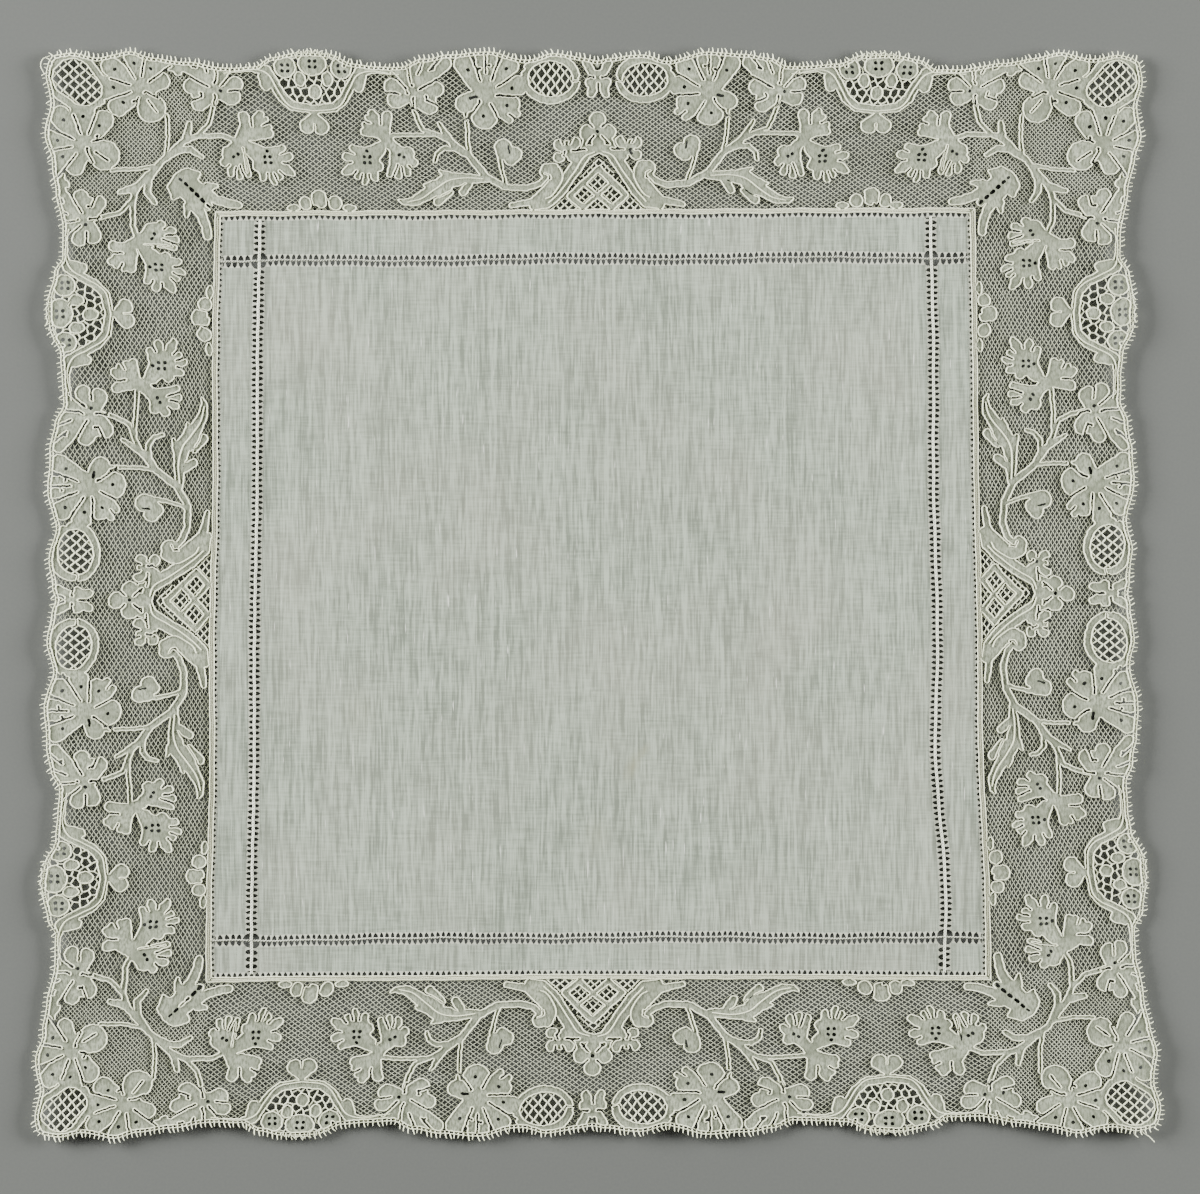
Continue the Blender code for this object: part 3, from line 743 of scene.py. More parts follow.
def new_tree(name, sizes):
    """A geometry tree with a shape in and out, and named inputs for its sizes."""
    tree = bpy.data.node_groups.new(name, "GeometryNodeTree")
    tree.interface.new_socket("Geometry", in_out="INPUT", socket_type="NodeSocketGeometry")
    tree.interface.new_socket("Geometry", in_out="OUTPUT", socket_type="NodeSocketGeometry")
    for label, kind in sizes:
        tree.interface.new_socket(label, in_out="INPUT", socket_type=kind)
    return tree, tree.nodes.new("NodeGroupInput"), tree.nodes.new("NodeGroupOutput")


def end_tree(tree, start, shape, end):
    whole = add(tree, "GeometryNodeRealizeInstances", inputs={"Geometry": shape})
    coloured = add(tree, "GeometryNodeSetMaterial",
                   inputs={"Geometry": whole.outputs[0], "Material": start.outputs["Material"]})
    tree.links.new(coloured.outputs[0], end.inputs[0])


def thread_tree():
    """Round thread of one thickness along every line of a mesh."""
    sizes = (("Thickness", "NodeSocketFloat"), ("Corners", "NodeSocketInt"),
             ("Material", "NodeSocketMaterial"))
    tree, start, end = new_tree("thread along lines", sizes)
    lines = add(tree, "GeometryNodeMeshToCurve", inputs={"Mesh": start.outputs["Geometry"]})
    level = add(tree, "GeometryNodeSetCurveNormal", {"mode": "Z_UP"}, {"Curve": lines.outputs[0]})
    half = add(tree, "ShaderNodeMath", {"operation": "MULTIPLY"}, {0: start.outputs["Thickness"], 1: 0.5})
    ring = add(tree, "GeometryNodeCurvePrimitiveCircle",
               inputs={"Resolution": start.outputs["Corners"], "Radius": half.outputs[0]})
    tube = add(tree, "GeometryNodeCurveToMesh",
               inputs={"Curve": level.outputs[0], "Profile Curve": ring.outputs[0], "Fill Caps": True})
    smooth = add(tree, "GeometryNodeSetShadeSmooth", inputs={"Geometry": tube.outputs[0]})
    end_tree(tree, start, smooth.outputs[0], end)
    return tree


def repeat_tree():
    """A small piece set again and again along every line, pointing to the line's left."""
    sizes = (("Piece", "NodeSocketObject"), ("Spacing", "NodeSocketFloat"),
             ("Lean", "NodeSocketFloat"), ("Size Change", "NodeSocketFloat"),
             ("Seed", "NodeSocketInt"), ("Material", "NodeSocketMaterial"))
    tree, start, end = new_tree("pieces along lines", sizes)
    lines = add(tree, "GeometryNodeMeshToCurve", inputs={"Mesh": start.outputs["Geometry"]})
    spots = add(tree, "GeometryNodeCurveToPoints", {"mode": "LENGTH"},
                {"Curve": lines.outputs[0], "Length": start.outputs["Spacing"]})
    facing = add(tree, "FunctionNodeAlignRotationToVector", {"axis": "X", "pivot_axis": "Z"},
                 {"Vector": spots.outputs["Tangent"]})
    piece = add(tree, "GeometryNodeObjectInfo", inputs={"Object": start.outputs["Piece"]})
    back = add(tree, "ShaderNodeMath", {"operation": "MULTIPLY"}, {0: start.outputs["Lean"], 1: -1.0})
    lean = add(tree, "FunctionNodeRandomValue", {"data_type": "FLOAT"},
               {2: back.outputs[0], 3: start.outputs["Lean"], "Seed": start.outputs["Seed"]})
    turn = add(tree, "ShaderNodeCombineXYZ", inputs={"Z": lean.outputs[1]})
    least = add(tree, "ShaderNodeMath", {"operation": "SUBTRACT"}, {0: 1.0, 1: start.outputs["Size Change"]})
    most = add(tree, "ShaderNodeMath", {"operation": "ADD"}, {0: 1.0, 1: start.outputs["Size Change"]})
    grow = add(tree, "FunctionNodeRandomValue", {"data_type": "FLOAT"},
               {2: least.outputs[0], 3: most.outputs[0], "Seed": start.outputs["Seed"]})
    placed = add(tree, "GeometryNodeInstanceOnPoints",
                 inputs={"Points": spots.outputs["Points"], "Instance": piece.outputs["Geometry"],
                         "Rotation": facing.outputs[0], "Scale": grow.outputs[1]})
    tilted = add(tree, "GeometryNodeRotateInstances",
                 inputs={"Instances": placed.outputs[0], "Rotation": turn.outputs[0]})
    end_tree(tree, start, tilted.outputs[0], end)
    return tree


def grown(guide, tree, sizes):
    """The plain mesh that a tree makes on a guide, under the guide's own name."""
    work = guide.modifiers.new("grow", "NODES")
    work.node_group = tree
    for item in tree.interface.items_tree:
        if item.in_out == "INPUT" and item.name in sizes:
            work[item.identifier] = sizes[item.name]
    bpy.context.view_layer.update()
    graph = bpy.context.evaluated_depsgraph_get()
    mesh = bpy.data.meshes.new_from_object(guide.evaluated_get(graph))
    name = guide.name
    bpy.data.objects.remove(guide, do_unlink=True)
    mesh.name = name
    made = bpy.data.objects.new(name, mesh)
    bpy.context.scene.collection.objects.link(made)
    return made


def threaded(guide, thickness, material, corners=4):
    """Thread of one thickness, in mm, along a guide's lines."""
    return grown(guide, THREAD, {"Thickness": thickness * MM, "Corners": corners, "Material": material})


def thread_lines(name, routes, closed=False):
    """A guide mesh of lines from routes of world points."""
    points, edges, base = [], [], 0
    for route in routes:
        count = len(route)
        points.append(route)
        edges.append(np.stack([np.arange(count - 1), np.arange(1, count)], axis=1) + base)
        if closed:
            edges.append(np.array([[base + count - 1, base]]))
        base += count
    return mesh_object(name, np.concatenate(points), np.concatenate(edges).tolist())


def side_of(x, y):
    """0 at the top, then clockwise."""
    flat = np.abs(x) > np.abs(y)
    return np.where(flat, np.where(x > 0, 1, 3), np.where(y > 0, 0, 2))


SIDE_NAMES = ("top", "right", "bottom", "left")


# Finishes
def linear(colour):
    """Linear colour from an sRGB hex value."""
    parts = [int(colour[place:place + 2], 16) / 255 for place in (1, 3, 5)]
    return (*(part / 12.92 if part <= 0.04045 else ((part + 0.055) / 1.055) ** 2.4 for part in parts), 1.0)


def finish(name):
    made = bpy.data.materials.new(name)
    made.use_nodes = True
    made.node_tree.nodes.clear()
    return made, made.node_tree


def dull_surface(tree, colour, roughness, sheen, bump=None):
    """The last step of each finish: a dull surface with its colour, nap and bump."""
    inputs = {"Base Color": colour, "Roughness": roughness, "Sheen Weight": sheen,
              "Sheen Roughness": 0.6, "Specular IOR Level": 0.25}
    if bump is not None:
        inputs["Normal"] = bump.outputs[0]
    body = add(tree, "ShaderNodeBsdfPrincipled", inputs=inputs)
    add(tree, "ShaderNodeOutputMaterial", inputs={"Surface": body.outputs[0]})
    return body


def grains(x_mm, y_mm):
    """Mapping scale that gives noise with grains of these sizes."""
    return (1000 / x_mm, 1000 / y_mm, 1000 / x_mm)


def linen_cambric():
    """Linen cambric, hand spun and plain woven: the uneven warp gives the eye long upright
    streaks, the weft fainter level ones, and thick places in a thread catch the light."""
    made, tree = finish("linen cambric")
    place = add(tree, "ShaderNodeTexCoord").outputs["Object"]
    # bands of warp from different spools, over a millimetre wide
    spools = add(tree, "ShaderNodeMapping", inputs={"Vector": place, "Scale": grains(1.4, 120.0)})
    bands = add(tree, "ShaderNodeTexNoise",
                inputs={"Vector": spools.outputs[0], "Scale": 1.0, "Detail": 3.0, "Roughness": 0.6})
    # single warp threads, drawn 0.6 mm wide because real ones are too fine to show
    ends = add(tree, "ShaderNodeMapping", inputs={"Vector": place, "Scale": grains(0.62, 10.0)})
    warp = add(tree, "ShaderNodeTexNoise",
               inputs={"Vector": ends.outputs[0], "Scale": 1.0, "Detail": 1.5, "Roughness": 0.6})
    picks = add(tree, "ShaderNodeMapping", inputs={"Vector": place, "Scale": grains(9.0, 0.65)})
    weft = add(tree, "ShaderNodeTexNoise",
               inputs={"Vector": picks.outputs[0], "Scale": 1.0, "Detail": 2.0, "Roughness": 0.6})
    both = add(tree, "ShaderNodeMath", {"operation": "MULTIPLY_ADD"},
               {0: warp.outputs[0], 1: 2.0, 2: bands.outputs[0]})
    whole = add(tree, "ShaderNodeMath", {"operation": "MULTIPLY_ADD"},
                {0: weft.outputs[0], 1: 0.80, 2: both.outputs[0]})
    light = add(tree, "ShaderNodeMapRange",
                inputs={"Value": whole.outputs[0], "From Min": 1.53, "From Max": 2.28})
    tone = add(tree, "ShaderNodeMix", {"data_type": "RGBA"},
               {0: light.outputs[0], 6: linear("#6B7364"), 7: linear("#A0AA98")})
    # thin gaps where two warp threads part
    gaps = add(tree, "ShaderNodeMapping", inputs={"Vector": place, "Scale": grains(0.45, 9.0)})
    thin = add(tree, "ShaderNodeTexNoise", inputs={"Vector": gaps.outputs[0], "Scale": 1.0, "Detail": 1.0})
    parted = add(tree, "ShaderNodeMapRange",
                 inputs={"Value": thin.outputs[0], "From Min": 0.34, "From Max": 0.24, "To Max": 0.7})
    ajar = add(tree, "ShaderNodeMix", {"data_type": "RGBA"},
               {0: parted.outputs[0], 6: tone.outputs[2], 7: linear("#5F6658")})
    # thick places in the thread, a few millimetres long, with a painted highlight where they catch the light
    lumps = add(tree, "ShaderNodeMapping",
                inputs={"Vector": place, "Location": (3.7, 1.9, 0.0), "Scale": grains(0.55, 8.0)})
    highlit_slub = add(tree, "ShaderNodeTexNoise", inputs={"Vector": lumps.outputs[0], "Scale": 1.0, "Detail": 1.0})
    thick = add(tree, "ShaderNodeMapRange",
                inputs={"Value": highlit_slub.outputs[0], "From Min": 0.73, "From Max": 0.80})
    # painted highlight: the thick places are mixed to a lighter colour as if they catch the light
    bright = add(tree, "ShaderNodeMix", {"data_type": "RGBA"},
                 {0: thick.outputs[0], 6: ajar.outputs[2], 7: linear("#CDD1C3")})
    # warm clouds of age
    drift = add(tree, "ShaderNodeMapping", inputs={"Vector": place, "Scale": grains(38.0, 46.0)})
    cloudy = add(tree, "ShaderNodeTexNoise", inputs={"Vector": drift.outputs[0], "Scale": 1.0, "Detail": 2.0})
    warm = add(tree, "ShaderNodeMapRange",
               inputs={"Value": cloudy.outputs[0], "From Min": 0.40, "From Max": 0.72, "To Max": 0.22})
    aged = add(tree, "ShaderNodeMix", {"data_type": "RGBA"},
               {0: warm.outputs[0], 6: bright.outputs[2], 7: linear("#A39F90")})
    bump = add(tree, "ShaderNodeBump",
               inputs={"Strength": 0.25, "Distance": 0.00008, "Height": whole.outputs[0]})
    dull_surface(tree, stained(tree, place, aged.outputs[2]), 0.86, 0.15, bump)
    return made


# Faint marks of age on the linen, in mm: x, y, half width, half length, turn, strength
STAINS = (
    (10.5, -51.5, 2.6, 6.5, -24.0, 0.60),
    (14.0, -47.0, 1.6, 3.0, -30.0, 0.45),
    (0.0, -72.0, 5.0, 7.0, 0.0, 0.22),
    (-72.0, -35.0, 6.0, 9.0, 10.0, 0.16),
)


def stained(tree, place, colour):
    """Pale olive marks with soft edges, from age."""
    for x, y, wide, long, turn, strength in STAINS:
        spot = add(tree, "ShaderNodeMapping", {"vector_type": "TEXTURE"},
                   {"Vector": place, "Location": (x * MM, y * MM, 0.0),
                    "Rotation": (0.0, 0.0, math.radians(turn)), "Scale": (wide * MM, long * MM, 1.0)})
        ball = add(tree, "ShaderNodeTexGradient", {"gradient_type": "SPHERICAL"}, {"Vector": spot.outputs[0]})
        amount = add(tree, "ShaderNodeMath", {"operation": "MULTIPLY"}, {0: ball.outputs[1], 1: strength})
        mark = add(tree, "ShaderNodeMix", {"data_type": "RGBA"},
                   {0: amount.outputs[0], 6: colour, 7: linear("#85866A")})
        colour = mark.outputs[2]
    return colour


def woven_clothwork():
    """Linen whole stitch of bobbin lace: close woven, so the eye sees a soft matt surface with
    a faint cross weave, duller than the thread that outlines it."""
    made, tree = finish("linen clothwork")
    place = add(tree, "ShaderNodeTexCoord").outputs["Object"]
    drift = add(tree, "ShaderNodeMapping", inputs={"Vector": place, "Scale": grains(7.0, 7.0)})
    patch = add(tree, "ShaderNodeTexNoise", inputs={"Vector": drift.outputs[0], "Scale": 1.0, "Detail": 2.0})
    light = add(tree, "ShaderNodeMapRange",
                inputs={"Value": patch.outputs[0], "From Min": 0.3, "From Max": 0.7})
    tone = add(tree, "ShaderNodeMix", {"data_type": "RGBA"},
               {0: light.outputs[0], 6: linear("#7B816C"), 7: linear("#A9AF98")})
    # stitches of the weave, drawn twice their real size so that they show
    rows = add(tree, "ShaderNodeMapping", inputs={"Vector": place, "Scale": grains(0.55, 1.3)})
    stitch = add(tree, "ShaderNodeTexNoise", inputs={"Vector": rows.outputs[0], "Scale": 1.0, "Detail": 1.0})
    close = add(tree, "ShaderNodeMapRange",
                inputs={"Value": stitch.outputs[0], "From Min": 0.62, "From Max": 0.34})
    woven = add(tree, "ShaderNodeMix", {"data_type": "RGBA"},
                {0: close.outputs[0], 6: tone.outputs[2], 7: linear("#6B715D")})
    bump = add(tree, "ShaderNodeBump",
               inputs={"Strength": 0.5, "Distance": 0.00012, "Height": stitch.outputs[0]})
    dull_surface(tree, woven.outputs[2], 0.9, 0.1, bump)
    return made


def lace_thread(name, dull, bright, patch_mm):
    """Bleached linen thread, plied: the eye sees a warm off-white that varies along its length."""
    made, tree = finish(name)
    place = add(tree, "ShaderNodeTexCoord").outputs["Object"]
    drift = add(tree, "ShaderNodeMapping", inputs={"Vector": place, "Scale": grains(patch_mm, patch_mm)})
    patch = add(tree, "ShaderNodeTexNoise", inputs={"Vector": drift.outputs[0], "Scale": 1.0, "Detail": 2.0})
    light = add(tree, "ShaderNodeMapRange",
                inputs={"Value": patch.outputs[0], "From Min": 0.3, "From Max": 0.7})
    tone = add(tree, "ShaderNodeMix", {"data_type": "RGBA"},
               {0: light.outputs[0], 6: linear(dull), 7: linear(bright)})
    plies = add(tree, "ShaderNodeMapping", inputs={"Vector": place, "Scale": grains(0.35, 0.35)})
    twist = add(tree, "ShaderNodeTexNoise", inputs={"Vector": plies.outputs[0], "Scale": 1.0, "Detail": 1.0})
    bump = add(tree, "ShaderNodeBump",
               inputs={"Strength": 0.35, "Distance": 0.00006, "Height": twist.outputs[0]})
    dull_surface(tree, tone.outputs[2], 0.8, 0.15, bump)
    return made


def pale_board():
    """Painted board: an even matt grey with a fine grain."""
    made, tree = finish("painted board")
    place = add(tree, "ShaderNodeTexCoord").outputs["Object"]
    fine = add(tree, "ShaderNodeMapping", inputs={"Vector": place, "Scale": grains(0.8, 0.8)})
    grain = add(tree, "ShaderNodeTexNoise", inputs={"Vector": fine.outputs[0], "Scale": 1.0, "Detail": 2.0})
    light = add(tree, "ShaderNodeMapRange",
                inputs={"Value": grain.outputs[0], "From Min": 0.2, "From Max": 0.8})
    tone = add(tree, "ShaderNodeMix", {"data_type": "RGBA"},
               {0: light.outputs[0], 6: linear("#575956"), 7: linear("#5B5D59")})
    dull_surface(tree, tone.outputs[2], 0.95, 0.0)
    return made


LINEN = linen_cambric()
CLOTHWORK = woven_clothwork()
NET = lace_thread("net thread", "#9CA088", "#AFB39B", 20.0)
FILLING = lace_thread("filling thread", "#C2C6A8", "#D4D8BB", 14.0)
OUTLINE = lace_thread("outline thread", "#CCD0AE", "#DEE2C3", 12.0)
HEMSTITCH = lace_thread("hemstitch thread", "#ABAF9C", "#BDC0AE", 25.0)
FOOTSIDE = lace_thread("footside thread", "#C2C4A4", "#D4D6B9", 25.0)
BOARD = pale_board()
THREAD = thread_tree()
REPEAT = repeat_tree()


# Lace
def net_axis(along, across_it):
    """Places of the net's crossings along one axis: wide beside the cloth, close past its corners."""
    wide = along * np.arange(round(CLOTH_HALF / along) + 1)
    close = np.arange(CLOTH_HALF + across_it, BORDER_HALF + 4.0, across_it)
    half = np.concatenate([wide, close])
    return np.concatenate([-half[:0:-1], half])


def net_guides():
    """Lines of the net's two families of thread, one guide for each side."""
    columns, rows = (net_axis(*sizes) for sizes in zip(NET_ALONG, NET_ACROSS))
    x, y = np.meshgrid(columns, rows)
    solid, edge = distance("solid", x, y), distance("edge", x, y)
    window = np.minimum.reduce([distance(name, x, y) for name in ("oval", "corner", "medallion", "ornament")])
    reach = np.maximum(np.abs(x), np.abs(y))
    open_here = (window > -0.2) & (reach > FOOT_LOW) & (edge < -(LOOP_REACH + EDGE_ROW - 0.3))
    wanted = open_here & (solid > 0.0)
    side = side_of(x, y)
    rng = np.random.default_rng(11)
    knot_x = x + rng.normal(0.0, NET_UNEVEN, x.shape)
    knot_y = y + rng.normal(0.0, NET_UNEVEN, y.shape)
    even = (np.add.outer(np.arange(len(rows)), np.arange(len(columns))) % 2) == 0
    guides = []
    for number, name in enumerate(SIDE_NAMES):
        points, edges, base = [], [], 0
        for slant in (1, -1):
            here = even[:-1, :-1] if slant > 0 else even[:-1, 1:]
            first = (slice(None, -1), slice(None, -1)) if slant > 0 else (slice(None, -1), slice(1, None))
            second = (slice(1, None), slice(1, None)) if slant > 0 else (slice(1, None), slice(None, -1))
            keep = here & open_here[first] & open_here[second] & (wanted[first] | wanted[second])
            keep &= side[first] == number
            index = np.arange(x.size).reshape(x.shape)
            a, b = index[first][keep], index[second][keep]
            used, inverse = np.unique(np.concatenate([a, b]), return_inverse=True)
            points.append(laid(knot_x.ravel()[used], knot_y.ravel()[used], NET_Z))
            edges.append(inverse.reshape(2, -1).T + base)
            base += len(used)
        guides.append(mesh_object(f"net_{name}", np.concatenate(points), np.concatenate(edges).tolist()))
    return guides


def filling_lines(window, half_s, half_t, low_s, high_s, low_t, high_t):
    """Crossed threads inside a window, as pieces of line in side coordinates."""
    s = np.arange(low_s, high_s, half_s)
    t = np.arange(low_t, high_t, half_t)
    off_s, off_t = np.random.default_rng(3).normal(0.0, FILLING_UNEVEN, (2, len(t), len(s)))
    routes = []
    for slant in (1, -1):
        for start in range(-len(t), len(s) + len(t)):
            run = []
            for row in range(len(t)):
                column = start + slant * row
                if 0 <= column < len(s) and (column + row) % 2 == 0:
                    run.append((s[column] + off_s[row, column], t[row] + off_t[row, column]))
            routes += clipped(run, window) if len(run) > 1 else []
    return routes


def clipped(run, window):
    """Stretches of a line that lie in the window, cut finely and kept off the clothwork."""
    points = np.array(run)
    share = np.linspace(0.0, len(points) - 1.0, 4 * (len(points) - 1) + 1)
    s = np.interp(share, np.arange(len(points)), points[:, 0])
    t = np.interp(share, np.arange(len(points)), points[:, 1])
    inside = (distance(window, s, t) < 0.25) & (distance("solid", s, t) > -0.55)
    return [np.stack([s[part], t[part]], axis=1) for part in stretches(inside)]


def stretches(flags):
    """Index runs where a row of flags holds."""
    runs, start = [], None
    for index, flag in enumerate(list(flags) + [False]):
        if flag and start is None:
            start = index
        if not flag and start is not None:
            if index - start > 1:
                runs.append(np.arange(start, index))
            start = None
    return runs


# Crossed fillings, in mm: half a mesh along s and t, then from and to along s and t
ORNAMENT_MESH = (1.22, 1.22, -14.64, 15.0, 114.8, 133.0)
OVAL_MESH = (1.42, 1.66, 2.9, 25.0, 145.6, 164.6)
CORNER_MESH = (1.5, 1.6, 144.0, 164.0, 143.4, 164.0)
# Six-sided fillings, in mm: from and to along t, and half the width
MEDALLION_MESH = (146.0, 164.0, 12.0)
ROUND_PITCH = 2.45
ROUND_JITTER = 0.34


def round_meshes(window, middle_s, low_t, high_t, half):
    """Six-sided meshes of uneven size, as separate bars between crossings."""
    rng = np.random.default_rng(7)
    rows, columns = int((high_t - low_t) / (ROUND_PITCH * 0.75)) + 2, int(2 * half / ROUND_PITCH) + 3
    jitter = rng.uniform(-ROUND_JITTER, ROUND_JITTER, (2, rows, 2 * columns + 2))
    width = ROUND_PITCH / 2
    rise = ROUND_PITCH * 0.29

    def spot(row, column):
        up = rise if (row + column) % 2 else 0.0
        return (middle_s - half + column * width + jitter[0, row, column],
                low_t + row * ROUND_PITCH * 0.866 + up + jitter[1, row, column])

    routes = []
    for row in range(rows):
        for column in range(2 * columns):
            routes += clipped([spot(row, column), spot(row, column + 1)], window)
            if (row + column) % 2 and row + 1 < rows:
                routes += clipped([spot(row, column), spot(row + 1, column)], window)
    return routes


def ornament_lattice():
    """Fine crossed threads behind the chevron and bars of each side's middle ornament."""
    return around(filling_lines("ornament", *ORNAMENT_MESH))


def window_meshes():
    """Coarse meshes of the oval and corner windows, and the round ones of the medallions."""
    base = filling_lines("oval", *OVAL_MESH)
    oval = base + [route * (-1, 1) for route in base]
    medallion = round_meshes("medallion", MEDALLION_S, *MEDALLION_MESH)
    corner = filling_lines("corner", *CORNER_MESH)
    return around(oval + medallion + [route * (-1, 1) for route in medallion] + corner)


def around(work):
    """World routes of one side's filling threads, set on all four sides."""
    routes = []
    for side in SIDES:
        for route in work:
            x, y = turned(route[:, 0], route[:, 1], side)
            routes.append(laid(x, y, FILLING_Z))
    return routes


def clothwork(loops):
    """Thin woven sheets inside the outlines, one for each side of the square."""
    shapes = [evenly(loop, CLOTHWORK_STEP, 7) for loop in loops]
    outline = np.concatenate(shapes)
    edges, base = [], 0
    for shape in shapes:
        count = len(shape)
        edges += [(base + index, base + (index + 1) % count) for index in range(count)]
        base += count
    axis = np.arange(-RING_HALF, RING_HALF, CLOTHWORK_INNER)
    x, y = (part.ravel() for part in np.meshgrid(axis, axis))
    deep = (np.maximum(np.abs(x), np.abs(y)) > CLOTH_HALF) & (cloth_distance(x, y) < -0.6)
    points = np.concatenate([outline, np.stack([x[deep], y[deep]], axis=1)])
    made = delaunay_2d_cdt([Vector(point) for point in points], edges, [], 1, 1e-5)
    places = np.array([tuple(point) for point in made[0]])
    faces = np.array(made[2])
    middle = places[faces].mean(axis=1)
    inside = cloth_distance(middle[:, 0], middle[:, 1]) < 0.04
    inside &= np.maximum(np.abs(middle[:, 0]), np.abs(middle[:, 1])) > CLOTH_HALF - 1.0
    faces = faces[inside]
    side = side_of(*middle[inside].T)
    sheets = []
    for number, name in enumerate(SIDE_NAMES):
        own = faces[side == number]
        used, inverse = np.unique(own, return_inverse=True)
        spots = laid(places[used, 0], places[used, 1], CLOTHWORK_Z)
        sheet = mesh_object(f"clothwork_{name}", spots, (), inverse.reshape(-1, 3).tolist())
        sheet.data.materials.append(CLOTHWORK)
        for face in sheet.data.polygons:
            face.use_smooth = True
        sheets.append(sheet)
    return sheets


def outline_routes(loops):
    """Outline thread round the clothwork, leaving the pinholes bare."""
    routes = []
    for loop in loops:
        length = np.hypot(*np.diff(loop, axis=0).T).sum()
        if length >= BARE_ROUND:
            routes.append(evenly(loop, OUTLINE_STEP, 8))
    return routes


def vein_routes():
    routes = []
    for twice, route in VEINS:
        for flip in both_ways(twice):
            points = np.array([(across(s, flip), t) for s, t in route])
            routes.append(points)
            routes.append(points * (-1, 1))
    return routes


def outline_threads(loops):
    rings = [[] for _ in SIDES]
    for shape in outline_routes(loops):
        middle = shape.mean(axis=0)
        world = laid(shape[:, 0], shape[:, 1], OUTLINE_Z)
        rings[int(side_of(*middle))].append(np.vstack([world, world[:1]]))
    for side in SIDES:
        for route in vein_routes():
            fine = smooth_route(route, 6)
            x, y = turned(fine[:, 0], fine[:, 1], side)
            rings[side].append(laid(x, y, OUTLINE_Z))
    threads = []
    for side, name in enumerate(SIDE_NAMES):
        guide = thread_lines(f"outline_{name}", rings[side])
        threads.append(threaded(guide, OUTLINE_THREAD, OUTLINE))
    return threads


def smooth_route(points, parts):
    """A smooth curve through a few points."""
    points = np.asarray(points, float)
    ends = np.vstack([2 * points[0] - points[1], points, 2 * points[-1] - points[-2]])
    share = np.linspace(0.0, 1.0, parts, endpoint=False)[:, None]
    pieces = []
    for a, b, c, d in zip(ends, ends[1:], ends[2:], ends[3:]):
        pieces.append(0.5 * (2 * b + (c - a) * share + (2 * a - 5 * b + 4 * c - d) * share**2
                             + (3 * b - a - 3 * c + d) * share**3))
    return np.vstack(pieces + [points[-1:]])


def foot_threads():
    """Straight threads of the footside, where the lace is sewn to the cloth."""
    routes = []
    for side in SIDES:
        for t in FOOT_ROWS:
            s = np.arange(-t, t + 0.1, 1.6)
            x, y = turned(s, np.full(len(s), t), side)
            routes.append(laid(x, y, OUTLINE_Z))
    return threaded(thread_lines("foot_threads", routes), FOOT_THREAD, FOOTSIDE)


def stray_ends():
    """Ends of thread that have worked loose at two corners."""
    routes = []
    for route in STRAY_ENDS:
        x, y = smooth_route(route, 5).T
        routes.append(laid(x, y, STRAY_Z))
    return threaded(thread_lines("stray_ends", routes), STRAY_THREAD, OUTLINE)


def edge_ring(back, spacing):
    """Closed ring of points that runs clockwise a distance inside the tips of the loops."""
    steps = int(EDGE[-1][0] / spacing)
    half = (EDGE[-1][0] - back) * np.arange(steps + 1) / steps
    s = np.concatenate([-half[:0:-1], half[:-1]])
    t = scallop(np.abs(s)) + EDGE_EASE - back
    rings = [np.stack(turned(s, t, side), axis=1) for side in SIDES]
    return np.vstack(rings)


def edge_work():
    """Two edge threads, the bars between them, and the loops that stand out from them."""
    outer, inner = edge_ring(LOOP_REACH, 0.9), edge_ring(LOOP_REACH + EDGE_ROW, 0.9)
    rows = [laid(ring[:, 0], ring[:, 1], NET_Z + 0.08) for ring in (outer, inner)]
    guide = thread_lines("edge_threads", rows, closed=True)
    sizes = {"Thickness": EDGE_THREAD * MM, "Corners": 4, "Material": OUTLINE}
    threads = grown(guide, THREAD, sizes)
    loop = edge_loop()
    guide = thread_lines("edge_loops", rows[:1], closed=True)
    loops = grown(guide, REPEAT, {"Piece": loop, "Spacing": LOOP_PITCH * MM, "Lean": 0.38,
                                  "Size Change": 0.22, "Seed": 4, "Material": OUTLINE})
    bar = edge_bar()
    guide = thread_lines("edge_bars", rows[1:], closed=True)
    bars = grown(guide, REPEAT, {"Piece": bar, "Spacing": LOOP_PITCH * MM, "Lean": 0.25,
                                 "Size Change": 0.05, "Seed": 9, "Material": OUTLINE})
    for piece in (loop, bar):
        bpy.data.objects.remove(piece, do_unlink=True)
    return [threads, loops, bars]


def tapered(name, route, radii, corners=4):
    """A small closed tube through a few points, with its own radius at each."""
    work = bmesh.new()
    rings = []
    for index, (centre, radius) in enumerate(zip(route, radii)):
        before, after = route[max(index - 1, 0)], route[min(index + 1, len(route) - 1)]
        ahead = (Vector(after) - Vector(before)).normalized()
        wide = ahead.cross(Vector((0, 0, 1))).normalized()
        up = wide.cross(ahead)
        ring = []
        for corner in range(corners):
            turn = math.tau * corner / corners
            out = wide * math.cos(turn) + up * math.sin(turn)
            ring.append(work.verts.new((Vector(centre) + out * radius) * MM))
        rings.append(ring)
    for low, high in zip(rings, rings[1:]):
        for corner in range(corners):
            after = (corner + 1) % corners
            work.faces.new((low[corner], low[after], high[after], high[corner]))
    work.faces.new(rings[0][::-1])
    work.faces.new(rings[-1])
    bmesh.ops.recalc_face_normals(work, faces=work.faces)
    mesh = bpy.data.meshes.new(name)
    work.to_mesh(mesh)
    work.free()
    made = bpy.data.objects.new(name, mesh)
    bpy.context.scene.collection.objects.link(made)
    return made


def edge_loop():
    return tapered("one_edge_loop", ((0.0, -0.1, 0.0), (0.05, 0.5, 0.05), (0.0, 1.0, 0.0), (-0.12, 1.4, 0.0)),
                   (0.19, 0.14, 0.11, 0.08))


def edge_bar():
    return tapered("one_edge_bar", ((0.0, -0.1, 0.0), (0.0, EDGE_ROW + 0.1, 0.0)), (0.2, 0.2))


# Linen
def panel_lines(low, high, gap):
    """Ends of the three panels across the cloth."""
    half = CLOTH_HALF - gap
    return ((-half, -low - LADDER_HALF), (-low + LADDER_HALF, high - LADDER_HALF), (high + LADDER_HALF, half))


